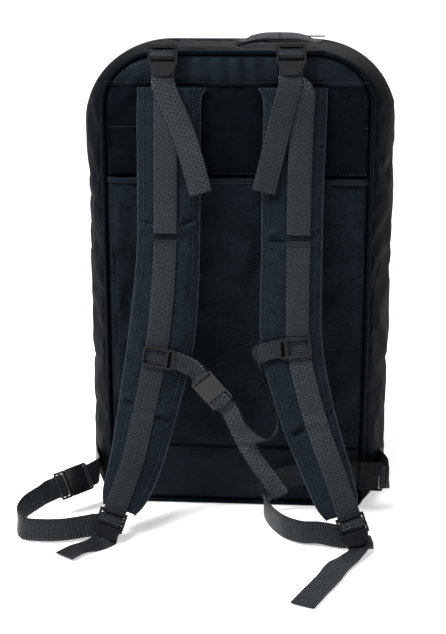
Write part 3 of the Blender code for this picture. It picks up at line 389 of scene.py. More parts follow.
def walk(points, across, step=0.0024):
    """Places along a smooth path: (place, width direction, normal, distance along)."""
    points = [Vector(p) for p in points]
    across = [Vector(a) for a in across] if isinstance(across, list) else [Vector(across)] * len(points)
    ts = []
    for i, (a, b) in enumerate(zip(points, points[1:])):
        count = max(2, math.ceil((b - a).length / step))
        ts += [i + k / count for k in range(count)]
    ts.append(len(points) - 1)
    places = [between(points, t) for t in ts]
    found, far = [], 0.0
    for i, t in enumerate(ts):
        ahead = (places[min(i + 1, len(ts) - 1)] - places[max(i - 1, 0)]).normalized()
        width = between(across, t)
        width = (width - width.dot(ahead) * ahead).normalized()
        far += (places[i] - places[i - 1]).length if i else 0
        found.append((places[i], width, ahead.cross(width), far))
    return found


def boxes(name, places, mat):
    """Small blocks in one mesh: places are (centre, along, across, up) with half sizes in their lengths."""
    points, faces = [], []
    for centre, along, across, up in places:
        start = len(points)
        for a, b, c in ((-1, -1, -1), (1, -1, -1), (1, 1, -1), (-1, 1, -1),
                        (-0.8, -0.7, 1), (0.8, -0.7, 1), (0.8, 0.7, 1), (-0.8, 0.7, 1)):
            points.append(centre + along * a + across * b + up * c)
        for f in ((3, 2, 1, 0), (4, 5, 6, 7), (0, 1, 5, 4), (1, 2, 6, 5), (2, 3, 7, 6), (3, 0, 4, 7)):
            faces.append(tuple(start + i for i in f))
    return mesh_object(name, points, faces, [(0, 0)] * (4 * len(faces)), mat)


def stitches(name, line, pitch=0.0034, long=0.0021, thick=0.00035):
    """A row of stitches along a line of (place, normal)."""
    line = [(Vector(p), Vector(n).normalized()) for p, n in line]
    found, far = [], 0.0
    for (a, n), (b, _) in zip(line, line[1:]):
        span = (b - a).length
        if span < 1e-6:
            continue
        ahead = (b - a) / span
        while far < span:
            place = a + ahead * far + n * thick * 0.3
            found.append((place, ahead * long / 2, ahead.cross(n) * thick, n * thick))
            far += pitch
        far -= span
    return boxes(name, found, THREAD)


def web_section(wide, thick):
    """Half the points over, half under, of a webbing's rounded section."""
    top = [(wide / 2 * s, (thick / 2) * (1 - abs(s) ** 8 * 0.75))
           for s in (1, 0.97, 0.85, 0.5, 0, -0.5, -0.85, -0.97, -1)]
    return top + [(u, -v) for u, v in reversed(top)]


def above_floor(row):
    """The same section, raised until it lies on the floor."""
    return [p + Vector((0, 0, max(0.0, REST_Z - min(q.z for q in row)))) for p in row]


def ribbon(name, points, across, wide=WEB_WIDE, thick=WEB_THICK, hem=0.0, wave=0.0, step=0.0024, mat=None):
    """A strip of webbing along a smooth path, doubled over its last stretch if it has a hem."""
    found = walk(points, across, step)
    total = found[-1][3]
    section = web_section(wide, thick)
    rows = []
    for place, width, normal, far in found:
        more = 1.0
        if hem:
            more += 0.85 * min(1.0, max(0.0, (far - total + hem) / 0.0012))
        sway = wave * rough_at((far, wide, 0), 35, 3.1) * min(1, far / 0.03, (total - far) / 0.03)
        stretch = 1 + 0.01 * rough_at(place, 60)
        rows.append(above_floor([place + width * u * stretch + normal * (v * more + sway) for u, v in section]))
    made = surface(name, rows, mat or WEBBING, around=True, caps=True)
    made["length"] = total
    return made


def settle(obj, pinned, pressure=0.0, grow=0.02, frames=14, most=0.002, bend=0.15):
    """A short cloth simulation. pinned is a weight for each point, and no point moves further than most."""
    count = len(obj.data.vertices)
    rest = np.empty(count * 3, np.float32)
    obj.data.vertices.foreach_get("co", rest)
    group = obj.vertex_groups.new(name="pin")
    for i, weight in enumerate(pinned):
        if weight > 0:
            group.add([i], float(weight), "REPLACE")
    step = obj.modifiers.new("cloth", "CLOTH")
    cloth = step.settings
    cloth.quality = 6
    cloth.mass = 0.2
    cloth.tension_stiffness = cloth.compression_stiffness = 12
    cloth.shear_stiffness = 6
    cloth.bending_stiffness = bend
    cloth.air_damping = 4
    cloth.vertex_group_mass = "pin"
    cloth.shrink_min = -grow
    if pressure:
        cloth.use_pressure = True
        cloth.uniform_pressure_force = pressure
    cloth.effector_weights.gravity = 0.0
    step.collision_settings.use_collision = False
    step.point_cache.frame_start = 1
    step.point_cache.frame_end = frames + 1
    for number in range(1, frames + 1):
        SCENE.frame_set(number)
    seen = obj.evaluated_get(bpy.context.evaluated_depsgraph_get())
    moved = np.empty(count * 3, np.float32)
    seen.data.vertices.foreach_get("co", moved)
    obj.modifiers.remove(step)
    obj.vertex_groups.remove(group)
    shift = (moved - rest).reshape(-1, 3)
    far = np.linalg.norm(shift, axis=1, keepdims=True)
    shift *= np.minimum(1.0, most / np.maximum(far, 1e-9))
    obj.data.vertices.foreach_set("co", (rest.reshape(-1, 3) + shift).ravel())
    obj.data.update()
    SCENE.frame_set(1)
    return obj


def label(obj, slot, nodes):
    if nodes:
        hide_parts(*nodes)
    return obj


def attach(obj, body, slot=None, nodes=()):
    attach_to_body(obj, body)
    return label(obj, slot, nodes)


def bend(obj, a, b, start, end, slot=None, nodes=()):
    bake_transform(obj)
    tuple(start)
    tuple(end)
    return label(obj, slot, nodes)


def mirrored(points):
    return [Vector((-p.x, p.y, p.z)) for p in points]


def halve(low, high, turns, below):
    """Narrow a range by halves. below says whether a middle is still under the mark."""
    for _ in range(turns):
        middle = (low + high) / 2
        if below(middle):
            low = middle
        else:
            high = middle
    return low, high


# The body's surface

def bulge(y):
    t = min(1.0, max(0.0, (y - BACK_Y) / (FRONT_Y - BACK_Y)))
    return BULGE * math.sin(math.pi * t) ** 0.55


def skin(sign, place, y, lift=0.0):
    """A point on the side wall or top. place is a height, or 1 + the share of the corner, or 2 + the share of
    the level top."""
    grow = bulge(y)
    wide = SEAM_HALF + grow + lift
    if place < 1:
        return Vector((sign * wide, y, place))
    top = HEIGHT + TOP_RISE * grow + lift
    if place > 2:
        return Vector((sign * TOP_FLAT * (3 - place), y, top))
    turn = (place - 1) * math.pi / 2
    drop = TOP_DROP + grow + lift
    out = TOP_FLAT + (wide - TOP_FLAT) * math.cos(turn)
    return Vector((sign * out, y, top - drop + drop * math.sin(turn)))


def half_width(z, inset):
    wide, drop = SEAM_HALF - inset, TOP_DROP - inset
    if z < BASE_ROUND:
        radius = BASE_ROUND - inset - 2 * GAP
        return SEAM_HALF - BASE_ROUND + math.sqrt(max(0.0, radius ** 2 - (BASE_ROUND - z) ** 2))
    up = (z - (HEIGHT - TOP_DROP)) / drop
    if up <= 0:
        return wide
    return TOP_FLAT + (wide - TOP_FLAT) * math.sqrt(max(0.0, 1 - min(up, 1) ** 2))


def corner_foot(y):
    """Height at which a top corner starts to turn."""
    return HEIGHT - TOP_DROP - (1 - TOP_RISE) * bulge(y)


def depth_steps(low, high, count):
    """Depths that crowd towards both ends of the body."""
    deep = FRONT_Y - BACK_Y
    a, b = (math.acos(1 - 2 * min(1, max(0, (y - BACK_Y) / deep))) for y in (low, high))
    return [BACK_Y + deep * (1 - math.cos(a + (b - a) * k / count)) / 2 for k in range(count + 1)]


def zip_height(y, grow):
    """Height of the zip's lower curve at a depth. grow is half the slot, or minus it for the lid."""
    share = min(1.0, max(0.0, (FRONT_Y - y) / (FRONT_Y - ZIP_Y + grow)))
    return ZIP_TURN_Z - (ZIP_TURN_Z - HINGE_Z + grow) * math.sqrt(1 - share ** 2)


def gusset_fold(sign, place, y):
    """Soft wrinkles of the side wall, with the cross seam low on each side."""
    t = (y - BACK_Y) / (FRONT_Y - BACK_Y)
    fade = min(1, t / 0.12, (1 - t) / 0.12)
    z = place if place < 1 else HEIGHT
    seam = seam_groove(z, CROSS_SEAM_Z, 0.004) if place < 1 else 0
    folds = 0.0014 * rough_at((sign * 3 + y * 0.35, 0, place * 0.5), 20, 1.7)
    folds += 0.0010 * rough_at((sign * 5, y, place), 55, 4.2)
    return fade * (folds - 0.0016 * seam)


def side_columns(ys):
    """Columns of a side wall above the zip's turn, and of the top as far as its middle."""
    wall = [[skin(1, ZIP_TURN_Z + (corner_foot(y) - ZIP_TURN_Z) * k / 40, y) for y in ys] for k in range(1, 40)]
    return wall + [[skin(1, place, y) for y in ys] for place in TOP_PLACES]


def folded(columns):
    """The same columns, with the soft wrinkles of the side wall pushed into them."""
    table = []
    for column in columns:
        row = []
        for p in column:
            place = p.z if p.z < OVER_TOP_Z else 1.5
            out = gusset_fold(1 if p.x > 0 else -1, place, p.y) if p.z > 0.02 else 0.0
            away = Vector((0, 0, 1))
            if abs(p.x) > 0.02:
                away = Vector((p.x / 0.17, 0, 0.3 if p.z > OVER_TOP_Z else 0)).normalized()
            row.append(p + away * out)
        table.append(row)
    return table


def shell(name, table, pin, body, node_name):
    made = surface(name, table, BODY_CLOTH_PAINTED_SHADE)
    settle(made, pin, pressure=0.6, grow=0.012, frames=12, most=0.0022, bend=0.6)
    attach(thicken(made, 0.0022, LINING), body, "shell_nylon", [node_name])


def wall(name, rows, mat, thick, body):
    attach(thicken(surface(name, rows, mat), thick, LINING), body, "shell_nylon")


def rear_body():
    """Back, side walls, base and the back half of the top, as one skin of columns round the outline."""
    steps = 26
    ys = depth_steps(BACK_Y, FRONT_Y, steps)
    columns = [[Vector(((SEAM_HALF + bulge(y) - BASE_ROUND - 0.6 * bulge(y)) * share, y, REST_Z)) for y in ys]
               for share in [k / 10 for k in range(10)]]
    for k in range(7):
        turn = math.pi / 2 * k / 6
        column = []
        for y in ys:
            radius, wide = BASE_ROUND + 0.6 * bulge(y), SEAM_HALF + bulge(y)
            column.append(Vector((wide - radius + radius * math.sin(turn), y,
                                  max(REST_Z, radius - radius * math.cos(turn)))))
        columns.append(column)
    for g in [k / 12 for k in range(1, 13)]:
        def height(y):
            radius = BASE_ROUND + 0.6 * bulge(y)
            return radius + g * (ZIP_TURN_Z - radius)
        end = FRONT_Y
        if height(FRONT_Y) > HINGE_Z - ZIP_HALF:
            end = halve(ZIP_Y - ZIP_HALF, FRONT_Y, 40, lambda y: height(y) <= zip_height(y, ZIP_HALF))[1]
        columns.append([Vector((SEAM_HALF + bulge(y), y, height(y))) for y in depth_steps(BACK_Y, end, steps)])
    columns += side_columns(depth_steps(BACK_Y, ZIP_Y - ZIP_HALF, steps))
    table = folded(columns + [mirrored(c) for c in columns[1:-1]][::-1])
    table.append(table[0])
    pin = []
    for row in table:
        for c, p in enumerate(row):
            held = 1.0 if c in (0, steps) or p.z < 0.02 or abs(p.z - CROSS_SEAM_Z) < 0.006 else 0.0
            pin.append(max(held, 0.6 if c in (1, steps - 1) else 0.02))
    shell("rear_body", table, pin, "pack", "rear_shell")
    rows = [[Vector((half_width(min(z, 0.02), 0) * u / 12, FRONT_Y - 0.0004, z)) for u in range(-12, 13)]
            for z in [REST_Z + 0.004 * k for k in range(7)]]
    wall("front_strip", rows, NYLON, 0.002, "pack")
    rows = [[Vector((half_width(z, 0) * u / 16, BACK_Y - 0.0001, z)) for u in range(-16, 17)]
            for z in [HEIGHT * k / 60 for k in range(61)]]
    wall("back_wall", rows, DARK, 0.0022, "pack")


def lid_body():
    """The opening half: side walls from the zip to the front seam, and the front face."""
    steps = 22
    low = HINGE_Z + ZIP_HALF
    deep, high = FRONT_Y - ZIP_Y - ZIP_HALF, ZIP_TURN_Z - low
    right = []
    for k in range(1, 15):
        a = math.pi / 2 * (1 - k / 14)
        ys = depth_steps(FRONT_Y - deep * math.cos(a), FRONT_Y, steps)
        right.append([skin(1, ZIP_TURN_Z - high * math.sin(a), y) for y in ys])
    right += side_columns(depth_steps(ZIP_Y + ZIP_HALF, FRONT_Y, steps))
    table = folded(right + [mirrored(c) for c in right[:-1]][::-1])
    last = len(table) - 1
    pin = [1.0 if c in (0, steps) or r in (0, last) else 0.02
           for r in range(last + 1) for c in range(steps + 1)]
    shell("lid_body", table, pin, "lid", "lid_shell")
    rows = []
    for z in [low + (HEIGHT - low) * k / 70 for k in range(71)]:
        wide = half_width(z, 0)
        rows.append([Vector((wide * u / 24, FRONT_Y - 0.0002 + 0.0010 * rough_at((u, z * 3, 0), 6) *
                             (1 - (u / 24) ** 2), z)) for u in range(-24, 25)])
    wall("lid_front", rows, NYLON, 0.0025, "lid")


def cord_along(name, line, radius, mat, around=10):
    """A tube of cloth-covered cord along places."""
    rows = []
    for place, width, normal, _ in walk(line, (0, 1, 0), 0.004):
        swell = radius * (1 + 0.06 * rough_at(place, 120))
        rows.append([place + width * swell * math.cos(2 * math.pi * k / around)
                     + normal * swell * math.sin(2 * math.pi * k / around) for k in range(around)])
    return surface(name, rows, mat, around=True, caps=True)


def seam_line(y, low=0.0):
    """The seam's outline at a depth, from the bottom middle or a height, round to the other side."""
    wide, radius = SEAM_HALF, BASE_ROUND
    right = [Vector((wide, y, low))]
    if low <= 0:
        right = [Vector((0, y, PIPING_R + GAP))]
        for k in range(6):
            a = math.pi / 2 * k / 5
            right.append(Vector((wide - radius + radius * math.sin(a), y,
                                 max(PIPING_R + GAP, radius - radius * math.cos(a)))))
    start = max(low, radius)
    right += [Vector((wide, y, start + (HEIGHT - TOP_DROP - start) * k / 12)) for k in range(1, 12)]
    for k in range(13):
        a = math.pi / 2 * k / 12
        right.append(Vector((TOP_FLAT + (wide - TOP_FLAT) * math.cos(a), y,
                             HEIGHT - TOP_DROP + TOP_DROP * math.sin(a))))
    return right + mirrored(reversed(right))


def pipings():
    front, foot = FRONT_Y + GAP + PIPING_R, HINGE_Z - 0.0095
    low = sorted([p for p in seam_line(front) if p.z < HINGE_Z - 0.009], key=lambda p: p.x)
    base = [Vector((-SEAM_HALF, front, foot))] + low + [Vector((SEAM_HALF, front, foot))]
    for name, line, body, node_name in (
            ("back_cord", seam_line(BACK_Y - GAP - PIPING_R), "pack", "back_piping"),
            ("lid_cord", seam_line(front, HINGE_Z + ZIP_HALF + 0.001), "lid", "lid_piping"),
            ("base_cord", base, "pack", "base_piping")):
        attach(cord_along(name, line, PIPING_R, DARK), body, "dark_nylon", [node_name])


def panel(name, node, low, high, thick, mat, slot, edge, relief, grow, pressure, cols=72):
    """A cloth panel on the back, sewn down all round, with a filled thickness and its own wrinkles."""
    top = min(high, HEIGHT - PANEL_INSET)
    rows, pin = [], []
    count = max(6, int((top - low) / 0.0045))
    for k in range(count + 1):
        z = low + (top - low) * k / count
        if high >= HEIGHT:
            z = low + (top - low) * math.sin(math.pi / 2 * k / count)
        wide = half_width(z, PANEL_INSET)
        row = []
        for c in range(cols + 1):
            s = 2 * c / cols - 1
            x = wide * math.sin(math.pi / 2 * s) if c not in (0, cols) else wide * s
            near = min(wide - abs(x), z - low, top - z)
            share = min(1.0, max(0.0, near / edge))
            rise = thick * math.sqrt(share * (2 - share))
            row.append(Vector((x, BACK_Y - 2 * GAP - rise - relief(x, z, near) * min(1, near / 0.004), z)))
            pin.append(1.0 if near < 0.003 else 0.05)
        rows.append(row)
    made = surface(name, rows, mat)
    settle(made, pin, pressure, grow, 12, 0.0022, 0.5)
    return attach(made, "pack", slot, [node])


def seam_groove(value, at, wide=0.0016):
    return math.exp(-((value - at) / wide) ** 2)


def base_relief(x, z, near):
    return 0.0020 * rough_at((x * 0.5, 0, z * 1.6), 30, 8.8)


def pad_relief(x, z, near):
    slow = 0.0050 * rough_at((x * 0.9, 0, z * 0.6), 14, 2.2) + 0.0026 * rough_at((x, 0, z * 0.8), 38, 5.5)
    return slow - 0.0014 * seam_groove(near, 0.0075, 0.0018)


def band_relief(x, z, near):
    fold = 0.0040 * rough_at((x * 0.7 + z * 0.5, 0, z), 26, 6.1)
    return fold - 0.0012 * seam_groove(z, 0.4292, 0.0016) + 0.0006 * seam_groove(z, 0.4266, 0.0014)


def yoke_relief(x, z, near):
    wave = math.cos(2 * math.pi * x / 0.0215 + 2.2 * rough_at((x, 0, 0), 18))
    slow = 0.0036 * rough_at((x, 0, z * 0.5), 26, 9.4) + 0.0010 * rough_at((x, 0, z), 60, 3.3)
    return (0.0034 * wave * math.exp(-near / 0.010) + slow) * min(1, near / 0.003)


def back_panels():
    panel("base_cloth", "base_panel", 0.0058, BASE_TOP - GAP, 0.003, NYLON, "shell_nylon", 0.006, base_relief,
          0.006, 0.1)
    pad = panel("pad_cloth", "back_pad", BASE_TOP, PAD_TOP - GAP, 0.0062, PAD_CLOTH, "shell_nylon", 0.012,
                pad_relief, 0.012, 0.6, 90)
    panel("band_cloth", "stow_band", PAD_TOP, YOKE_LOW - 2 * GAP, 0.0016, DARK, "dark_nylon", 0.004,
          band_relief, 0.010, 0.3)
    yoke = panel("yoke_cloth", "yoke_panel", YOKE_LOW, HEIGHT, 0.0056, NYLON, "shell_nylon", 0.009, yoke_relief,
                 0.012, 0.5, 110)
    half = SEAM_HALF - PANEL_INSET
    y = BACK_Y - GAP - PAD_THICK - 0.0012
    shares = [k / 30 - 1 for k in range(61)]
    line = [Vector((half * s, y + 0.0060 * math.exp(-(1 - abs(s)) / 0.05),
                    PAD_TOP - 0.0032 + 0.0006 * rough_at((k * 0.01, 0, 0), 40))) for k, s in enumerate(shares)]
    tape = ribbon("pad_tape", line, (0, 0, 1), 0.0062, 0.0016, mat=NYLON)
    attach(tape, "pack", "dark_nylon", ["pad_binding"])
    rows = [("pad_stitch", [(p + Vector((0, -0.0010, -0.0018)), (0, -1, 0)) for p in line])]
    for z, lift in ((YOKE_LOW + 0.0045, 0.0052), (PAD_TOP + 0.0045, 0.0024), (BASE_TOP + 0.0045, 0.0048),
                    (BASE_TOP - 0.0035, 0.0034), (0.4318, 0.0021)):
        rows.append((f"back_stitch_{z:.4f}",
                     [(Vector((half * 0.985 * s, BACK_Y - lift - 0.0006, z)), (0, -1, 0)) for s in shares]))
    for name, line in rows:
        attach(stitches(name, line), "pack", "webbing")


# Straps

def strap_path(side):
    inner = BACK_Y - 3 * GAP - BAND_THICK - STRAP_THICK / 2
    return [Vector((x, inner - out, z)) for x, out, z in zip(STRAP_X[side], STRAP_OUT, STRAP_Z)]


def share_at(points, z, turns):
    """How far along a list a height lies. The list may hold anything with a z, from high to low."""
    return halve(0.0, len(points) - 1.0, turns, lambda t: between(points, t).z > z)[0]


def strap_spot(side, z, lift=0.0):
    """A frame on a strap's webbing line, lifted off the padding: X across, Y up the strap, Z outward."""
    points = strap_path(side)
    low = share_at(points, z, 30)
    up = between(points, max(low - 0.01, 0)) - between(points, min(low + 0.01, len(points) - 1))
    return frame_at(between(points, low), (1, 0, 0), up) @ Matrix.Translation(
        (WEB_SHIFT[side], 0, STRAP_THICK / 2 + lift))


def crease_depth(side, x, z):
    total = 0.0
    for (ax, az), (bx, bz), depth, wide in CREASES[side]:
        dx, dz = bx - ax, bz - az
        t = ((x - ax) * dx + (z - az) * dz) / (dx * dx + dz * dz)
        t = min(1, max(0, t))
        away = math.hypot(x - ax - t * dx, z - az - t * dz)
        total += depth * seam_groove(away, 0, wide) - 0.35 * depth * seam_groove(away, 2.2 * wide, wide)
    return total


def strap(side):
    """One padded strap: filled between its edges, pressed flat under the webbing, puckered beside it."""
    points, sign = strap_path(side), SIDES[side]
    found = walk(points, (1, 0, 0), 0.0034)
    rows, pin, edges, lines = [], [], {-1: [], 1: []}, {-1: [], 1: []}
    around = list(np.linspace(1, -1, 21))
    for place, width, normal, far in found:
        half = between(list(STRAP_WIDE[side]), share_at(points, place.z, 24)) / 2
        outward = -normal if normal.y > 0 else normal
        flare = 0.0075 * math.exp(-(YOKE_LOW - place.z) / 0.007)
        half -= 0.0050 * max(0.0, 1 - (found[-1][3] - far) / 0.022) ** 2
        row = []
        for face, shares in ((1, around), (-1, around[::-1])):
            for s in shares:
                u = s * (half + flare * (1 if s * sign < 0 else 0))
                deep = max(STRAP_THICK / 2 * (1 - abs(s) ** 3.6) ** 0.62, 0.0009)
                x = place.x + u
                off = abs(u - WEB_SHIFT[side]) - WEB_WIDE / 2
                free = min(1.0, max(0.0, off / 0.006))
                spot = (x, face, place.z)
                rub = 0.0011 * rough_at(spot, 45, 2.0 + sign) + 0.0005 * rough_at(spot, 110)
                rub += 0.0016 * math.cos(2 * math.pi * (far + 0.004 * rough_at((x, 0, far), 30)) / 0.0105) * (
                    math.exp(-max(0.0, off) / 0.007) * (0.4 + rough_at((s * 0.2, face, far), 14, 5.0)))
                press = crease_depth(side, x, place.z) if face > 0 else 0.0
                pressed = press * (0.35 + 0.65 * free) * min(1, (1 - abs(s)) * 6)
                dip = 0.0010 * seam_groove(abs(s), 0.80, 0.05)
                body = deep - pressed + rub * free * (1 - abs(s)) * 2 - dip
                row.append(place + width * u + outward * face * max(body, 0.0006))
                pin.append(1.0 if abs(s) > 0.93 or free < 0.2 else 0.04)
        rows.append(row)
        for edge in (-1, 1):
            reach = edge * (half - 0.0002 + (flare if edge * sign < 0 else 0))
            edges[edge].append(place + width * reach)
            spot = place + width * edge * half * 0.80 + outward * (STRAP_THICK / 2 * 0.72)
            lines[edge].append((spot, outward))
    made = surface(f"strap_{side}", rows, STRAP_CLOTH, around=True, caps=True)
    pin = [1.0 if i // len(rows[0]) in (0, len(rows) - 1) else w for i, w in enumerate(pin)]
    settle(made, pin, 1.2, 0.02, 14, 0.0018, 0.3)
    body = f"shoulder_{side}"
    attach(made, body, "strap_fabric", [f"strap_pad_{side}"])
    for edge, name in ((-1, "a"), (1, "b")):
        # The edge cords' lighter binding colour is a painted highlight.
        cord = cord_along(f"strap_edge_{side}_{name}", edges[edge][::3] + [edges[edge][-1]], 0.0012, BINDING_PAINTED_HIGHLIGHT, 8)
        attach(cord, body, "strap_fabric")
        attach(stitches(f"strap_stitch_{side}_{name}", lines[edge]), body, "webbing")


def strap_web(side):
    """The webbing down the face of a strap, from the load lifter to the ladder lock."""
    points = strap_path(side)
    near = STRAP_THICK / 2 + 2 * GAP + WEB_THICK / 2
    line = []
    for place, width, normal, _ in walk(points, (1, 0, 0), 0.006):
        if place.z < LIFTER_Z - 0.003:
            outward = -normal if normal.y > 0 else normal
            press = crease_depth(side, place.x + WEB_SHIFT[side], place.z)
            line.append(place + width * WEB_SHIFT[side] + outward * (near - 0.25 * max(0, press)))
    line.append(line[-1] + (line[-1] - line[-2]).normalized() * 0.008)
    made = ribbon(f"face_web_{side}", line, (1, 0, 0), wave=0.0006)
    attach(made, f"shoulder_{side}", "webbing", [f"strap_web_{side}"])
    tacks = []
    for z in (LIFTER_Z - 0.0075, LIFTER_Z - 0.0105):
        spot = strap_spot(side, z, WEB_THICK + 2 * GAP)
        tacks.append([(spot @ Vector((x, 0, 0.0002)), spot.to_3x3() @ Vector((0, 0, 1)))
                      for x in np.linspace(-0.0110, 0.0110, 12)])
    for number, line in enumerate(tacks):
        tack = stitches(f"tack_{side}_{number}", line, 0.0016, 0.0014)
        attach(tack, f"shoulder_{side}", "webbing")


def lifter(side):
    """Load lifter: sewn to the strap, up behind the lock, over its middle bar and down again as a free tail."""
    x, top = LOCK_TOP[side]
    mid = top - LOCK_BAR - LOCK_SLOT - LOCK_BAR / 2
    slot = LOCK_BAR / 2 + LOCK_SLOT / 2
    back = BACK_Y - GAP - YOKE_THICK - 3 * LAYER - 2 * GAP
    front = back - LOCK_THICK
    deep, shallow = back + 1.5 * LAYER, back + 0.5 * LAYER
    tab = top - LOCK_LONG
    low = strap_spot(side, LIFTER_Z, GAP + WEB_THICK).translation
    rise = [strap_spot(side, z, 0.0024).translation for z in (0.345, 0.380, 0.415, 0.445, 0.470)]
    bar = LOCK_THICK / 2 + WEB_THICK
    loop = [(deep - 0.0040, YOKE_LOW + 0.0055), (deep, tab + 0.003), (deep, mid - 0.004), (deep, mid + 0.001),
            (back - LOCK_THICK / 2, mid + slot), (front - WEB_THICK, mid + slot / 2), (front - WEB_THICK, mid),
            (front - WEB_THICK, mid - slot / 2), (front + bar, mid - slot + 0.0004),
            (shallow, mid - slot - 0.0012), (shallow, mid - slot - 0.0055), (shallow, tab + 0.0002),
            (shallow - 0.0042, tab - 0.0075)]
    loop = [Vector((x, y, z)) for y, z in loop]
    tail = []
    for drop, (tx, tz) in enumerate(LIFTER_TAIL[side]):
        ahead = 0.0038 if drop == 0 else 0.0050
        tail.append(Vector((tx, strap_spot(side, tz).translation.y - ahead, tz)))
    made = ribbon(f"lifter_{side}", [low] + rise + loop + tail, (1, 0, 0), hem=0.020, step=0.0020)
    bend(made, f"shoulder_{side}", "pack", (0, 0, YOKE_LOW - 0.030), (0, 0, YOKE_LOW + 0.012), "webbing",
         [f"lifter_web_{side}"])
    y = BACK_Y - GAP - YOKE_THICK - GAP - WEB_THICK / 2
    near = back + GAP + WEB_THICK / 2
    line = [(x, y, YOKE_LOW + 0.012), (x, y, top - 0.0075), (x, (y + near) / 2, top - 0.0042),
            (x, near, top - 0.0012), (x, near, top + 0.0008)]
    attach(ribbon(f"anchor_web_{side}", line, (1, 0, 0)), "pack", "webbing", [f"lock_anchor_{side}"])


def adjuster_frame(side):
    return strap_spot(side, STRAP_Z[-1], WEB_THICK + 4 * GAP) @ Matrix.Translation((0, -0.003, LOCK_THICK / 2))


def adjuster_tail(side):
    spot = adjuster_frame(side)
    mid = -1.5 * LOCK_BAR - LOCK_SLOT
    slot = LOCK_BAR / 2 + LOCK_SLOT / 2
    lift = LOCK_THICK / 2 + WEB_THICK / 2
    route = [spot @ Vector((0, y, z)) for y, z in
             ((mid + slot * 1.2, -lift * 0.6), (mid + slot, 0), (mid + slot * 0.45, lift), (mid, lift + 0.0003),
              (mid - slot * 0.45, lift), (mid - slot, 0.0), (mid - slot * 1.5, -lift),
              (-LOCK_LONG + 0.004, -lift))]
    leave = spot @ Vector((0, -LOCK_LONG - 0.006, -lift))
    free = [leave] + [Vector((x, y, min(z, 0.0030))) for x, y, z in TAIL_ROUTE[side]]
    flat = Vector((free[-1].y - leave.y, leave.x - free[-1].x, 0)).normalized()
    flat = flat if flat.x > 0 else -flat
    across = [spot.to_3x3() @ Vector((1, 0, 0))] * (len(route) + 1) + [flat] * len(TAIL_ROUTE[side])
    route = [Vector((p.x, p.y, max(p.z, 0.0012))) for p in route + free]
    made = ribbon(f"tail_{side}", route, across, WEB_WIDE + 0.0006, hem=0.022, step=0.0016)
    a, b = spot @ Vector((0, 0.006, 0)), spot @ Vector((0, 0.001, 0))
    bend(made, f"shoulder_{side}", f"strap_end_{side}", a, b, "webbing", [f"adjuster_tail_{side}"])


def buckle_frame(start, ahead):
    x = ahead.normalized()
    z = Vector((0, -1, 0.35))
    z = (z - z.dot(x) * x).normalized()
    return Matrix.Translation(start) @ Matrix((x, z.cross(x), z)).transposed().to_4x4()


def lower_web(side):
    """The slack web from the male side buckle to under the ladder lock, in two pieces."""
    spot = buckle_frame(*SIDE_BUCKLE[side])
    out = FEMALE_LONG + GAP + MALE_LONG
    first = spot @ Vector((out + 2 * GAP, 0, 0))
    lock = adjuster_frame(side)
    low = -LOCK_THICK / 2 - GAP - WEB_THICK / 2
    ends = [lock @ Vector((-reach, -0.0195, low - 0.0004)) for reach in (0.011, -0.006)]
    points = [first, first + spot.to_3x3() @ Vector((0.008, 0, 0)), *map(Vector, LOWER_ROUTE[side]), *ends]
    up = spot.to_3x3() @ Vector((0, 1, 0))
    up = up if up.z > 0 else -up
    across = [up] * 2 + [EDGE_UP] * len(LOWER_ROUTE[side]) + [lock.to_3x3() @ Vector((0, 1, 0))] * 2
    found = walk(points, across)
    cut = next(i for i, f in enumerate(found) if f[3] > 0.034)
    section = web_section(WEB_WIDE - 0.001, WEB_THICK)

    def piece(name, part):
        rows = [above_floor([p + w * u + n * v for u, v in section]) for p, w, n, _ in part]
        return surface(name, rows, WEBBING, around=True, caps=True)
    near = piece(f"slack_web_{side}_end", found[:cut + 1])
    long = piece(f"slack_web_{side}", found[cut:])
    bend(near, f"side_plug_{side}", "pack", found[3][0], found[cut - 2][0], "webbing")
    a, b = found[-1][0], found[cut + 4][0]
    bend(long, f"shoulder_{side}", "pack", a, b, "webbing", [f"lower_web_{side}"])


def bar_wraps(name, spot, wide, male_body, female_body):
    """The webbing as it passes round a buckle's bars, which shows in the slots."""
    up = spot.to_3x3() @ Vector((0, 1, 0))
    base = FEMALE_LONG + GAP
    male = ((0.0132, 0.0006), (0.0115, 0.0030), (0.0093, 0.0024), (0.0086, 0.0), (0.0078, -0.0024),
            (0.0061, -0.0028), (0.0044, -0.0024), (0.0036, 0.0), (0.0040, 0.0026), (0.0061, 0.0034),
            (0.0090, 0.0038), (0.0115, 0.0042), (0.0136, 0.0020))
    turns = [spot @ Vector((base + x, 0, z)) for x, z in male]
    attach(ribbon(name + "_male", turns, up, wide, 0.0020, step=0.0008), male_body, "webbing")
    female = ((-0.0020, 0.0006), (-0.0014, 0.0048), (0.0004, 0.0052), (0.0028, 0.0044), (0.0031, 0.0),
              (0.0028, -0.0044), (0.0004, -0.0052), (-0.0014, -0.0048), (-0.0020, -0.0006))
    turns = [spot @ Vector((x, 0, z)) for x, z in female]
    attach(ribbon(name + "_female", turns, up, wide, step=0.0008), female_body, "webbing")


def side_anchor(side):
    sign = SIDES[side]
    spot = buckle_frame(*SIDE_BUCKLE[side])
    z = SIDE_BUCKLE[side][0].z
    lift = GAP + WEB_THICK / 2 + 0.0002
    sewn = [skin(sign, z, -0.050, lift + 0.0006), skin(sign, z, -0.058, lift + 0.0010)]
    turn = [Vector((x, y, z)) for x, y in ANCHOR_TURN[side]]
    up = spot.to_3x3() @ Vector((0, 1, 0))
    up = up if up.z > 0 else -up
    points = sewn + turn + [spot @ Vector((-0.006, 0, 0)), spot @ Vector((-6 * GAP, 0, 0))]
    across = [Vector((0, 0, 1))] * (len(points) - 2) + [up] * 2
    attach(ribbon(f"side_web_{side}", points, across, hem=0.020), "pack", "webbing", [f"side_anchor_{side}"])
    bar_wraps(f"side_wrap_{side}", spot, WEB_WIDE + 0.0006, f"side_plug_{side}", "pack")


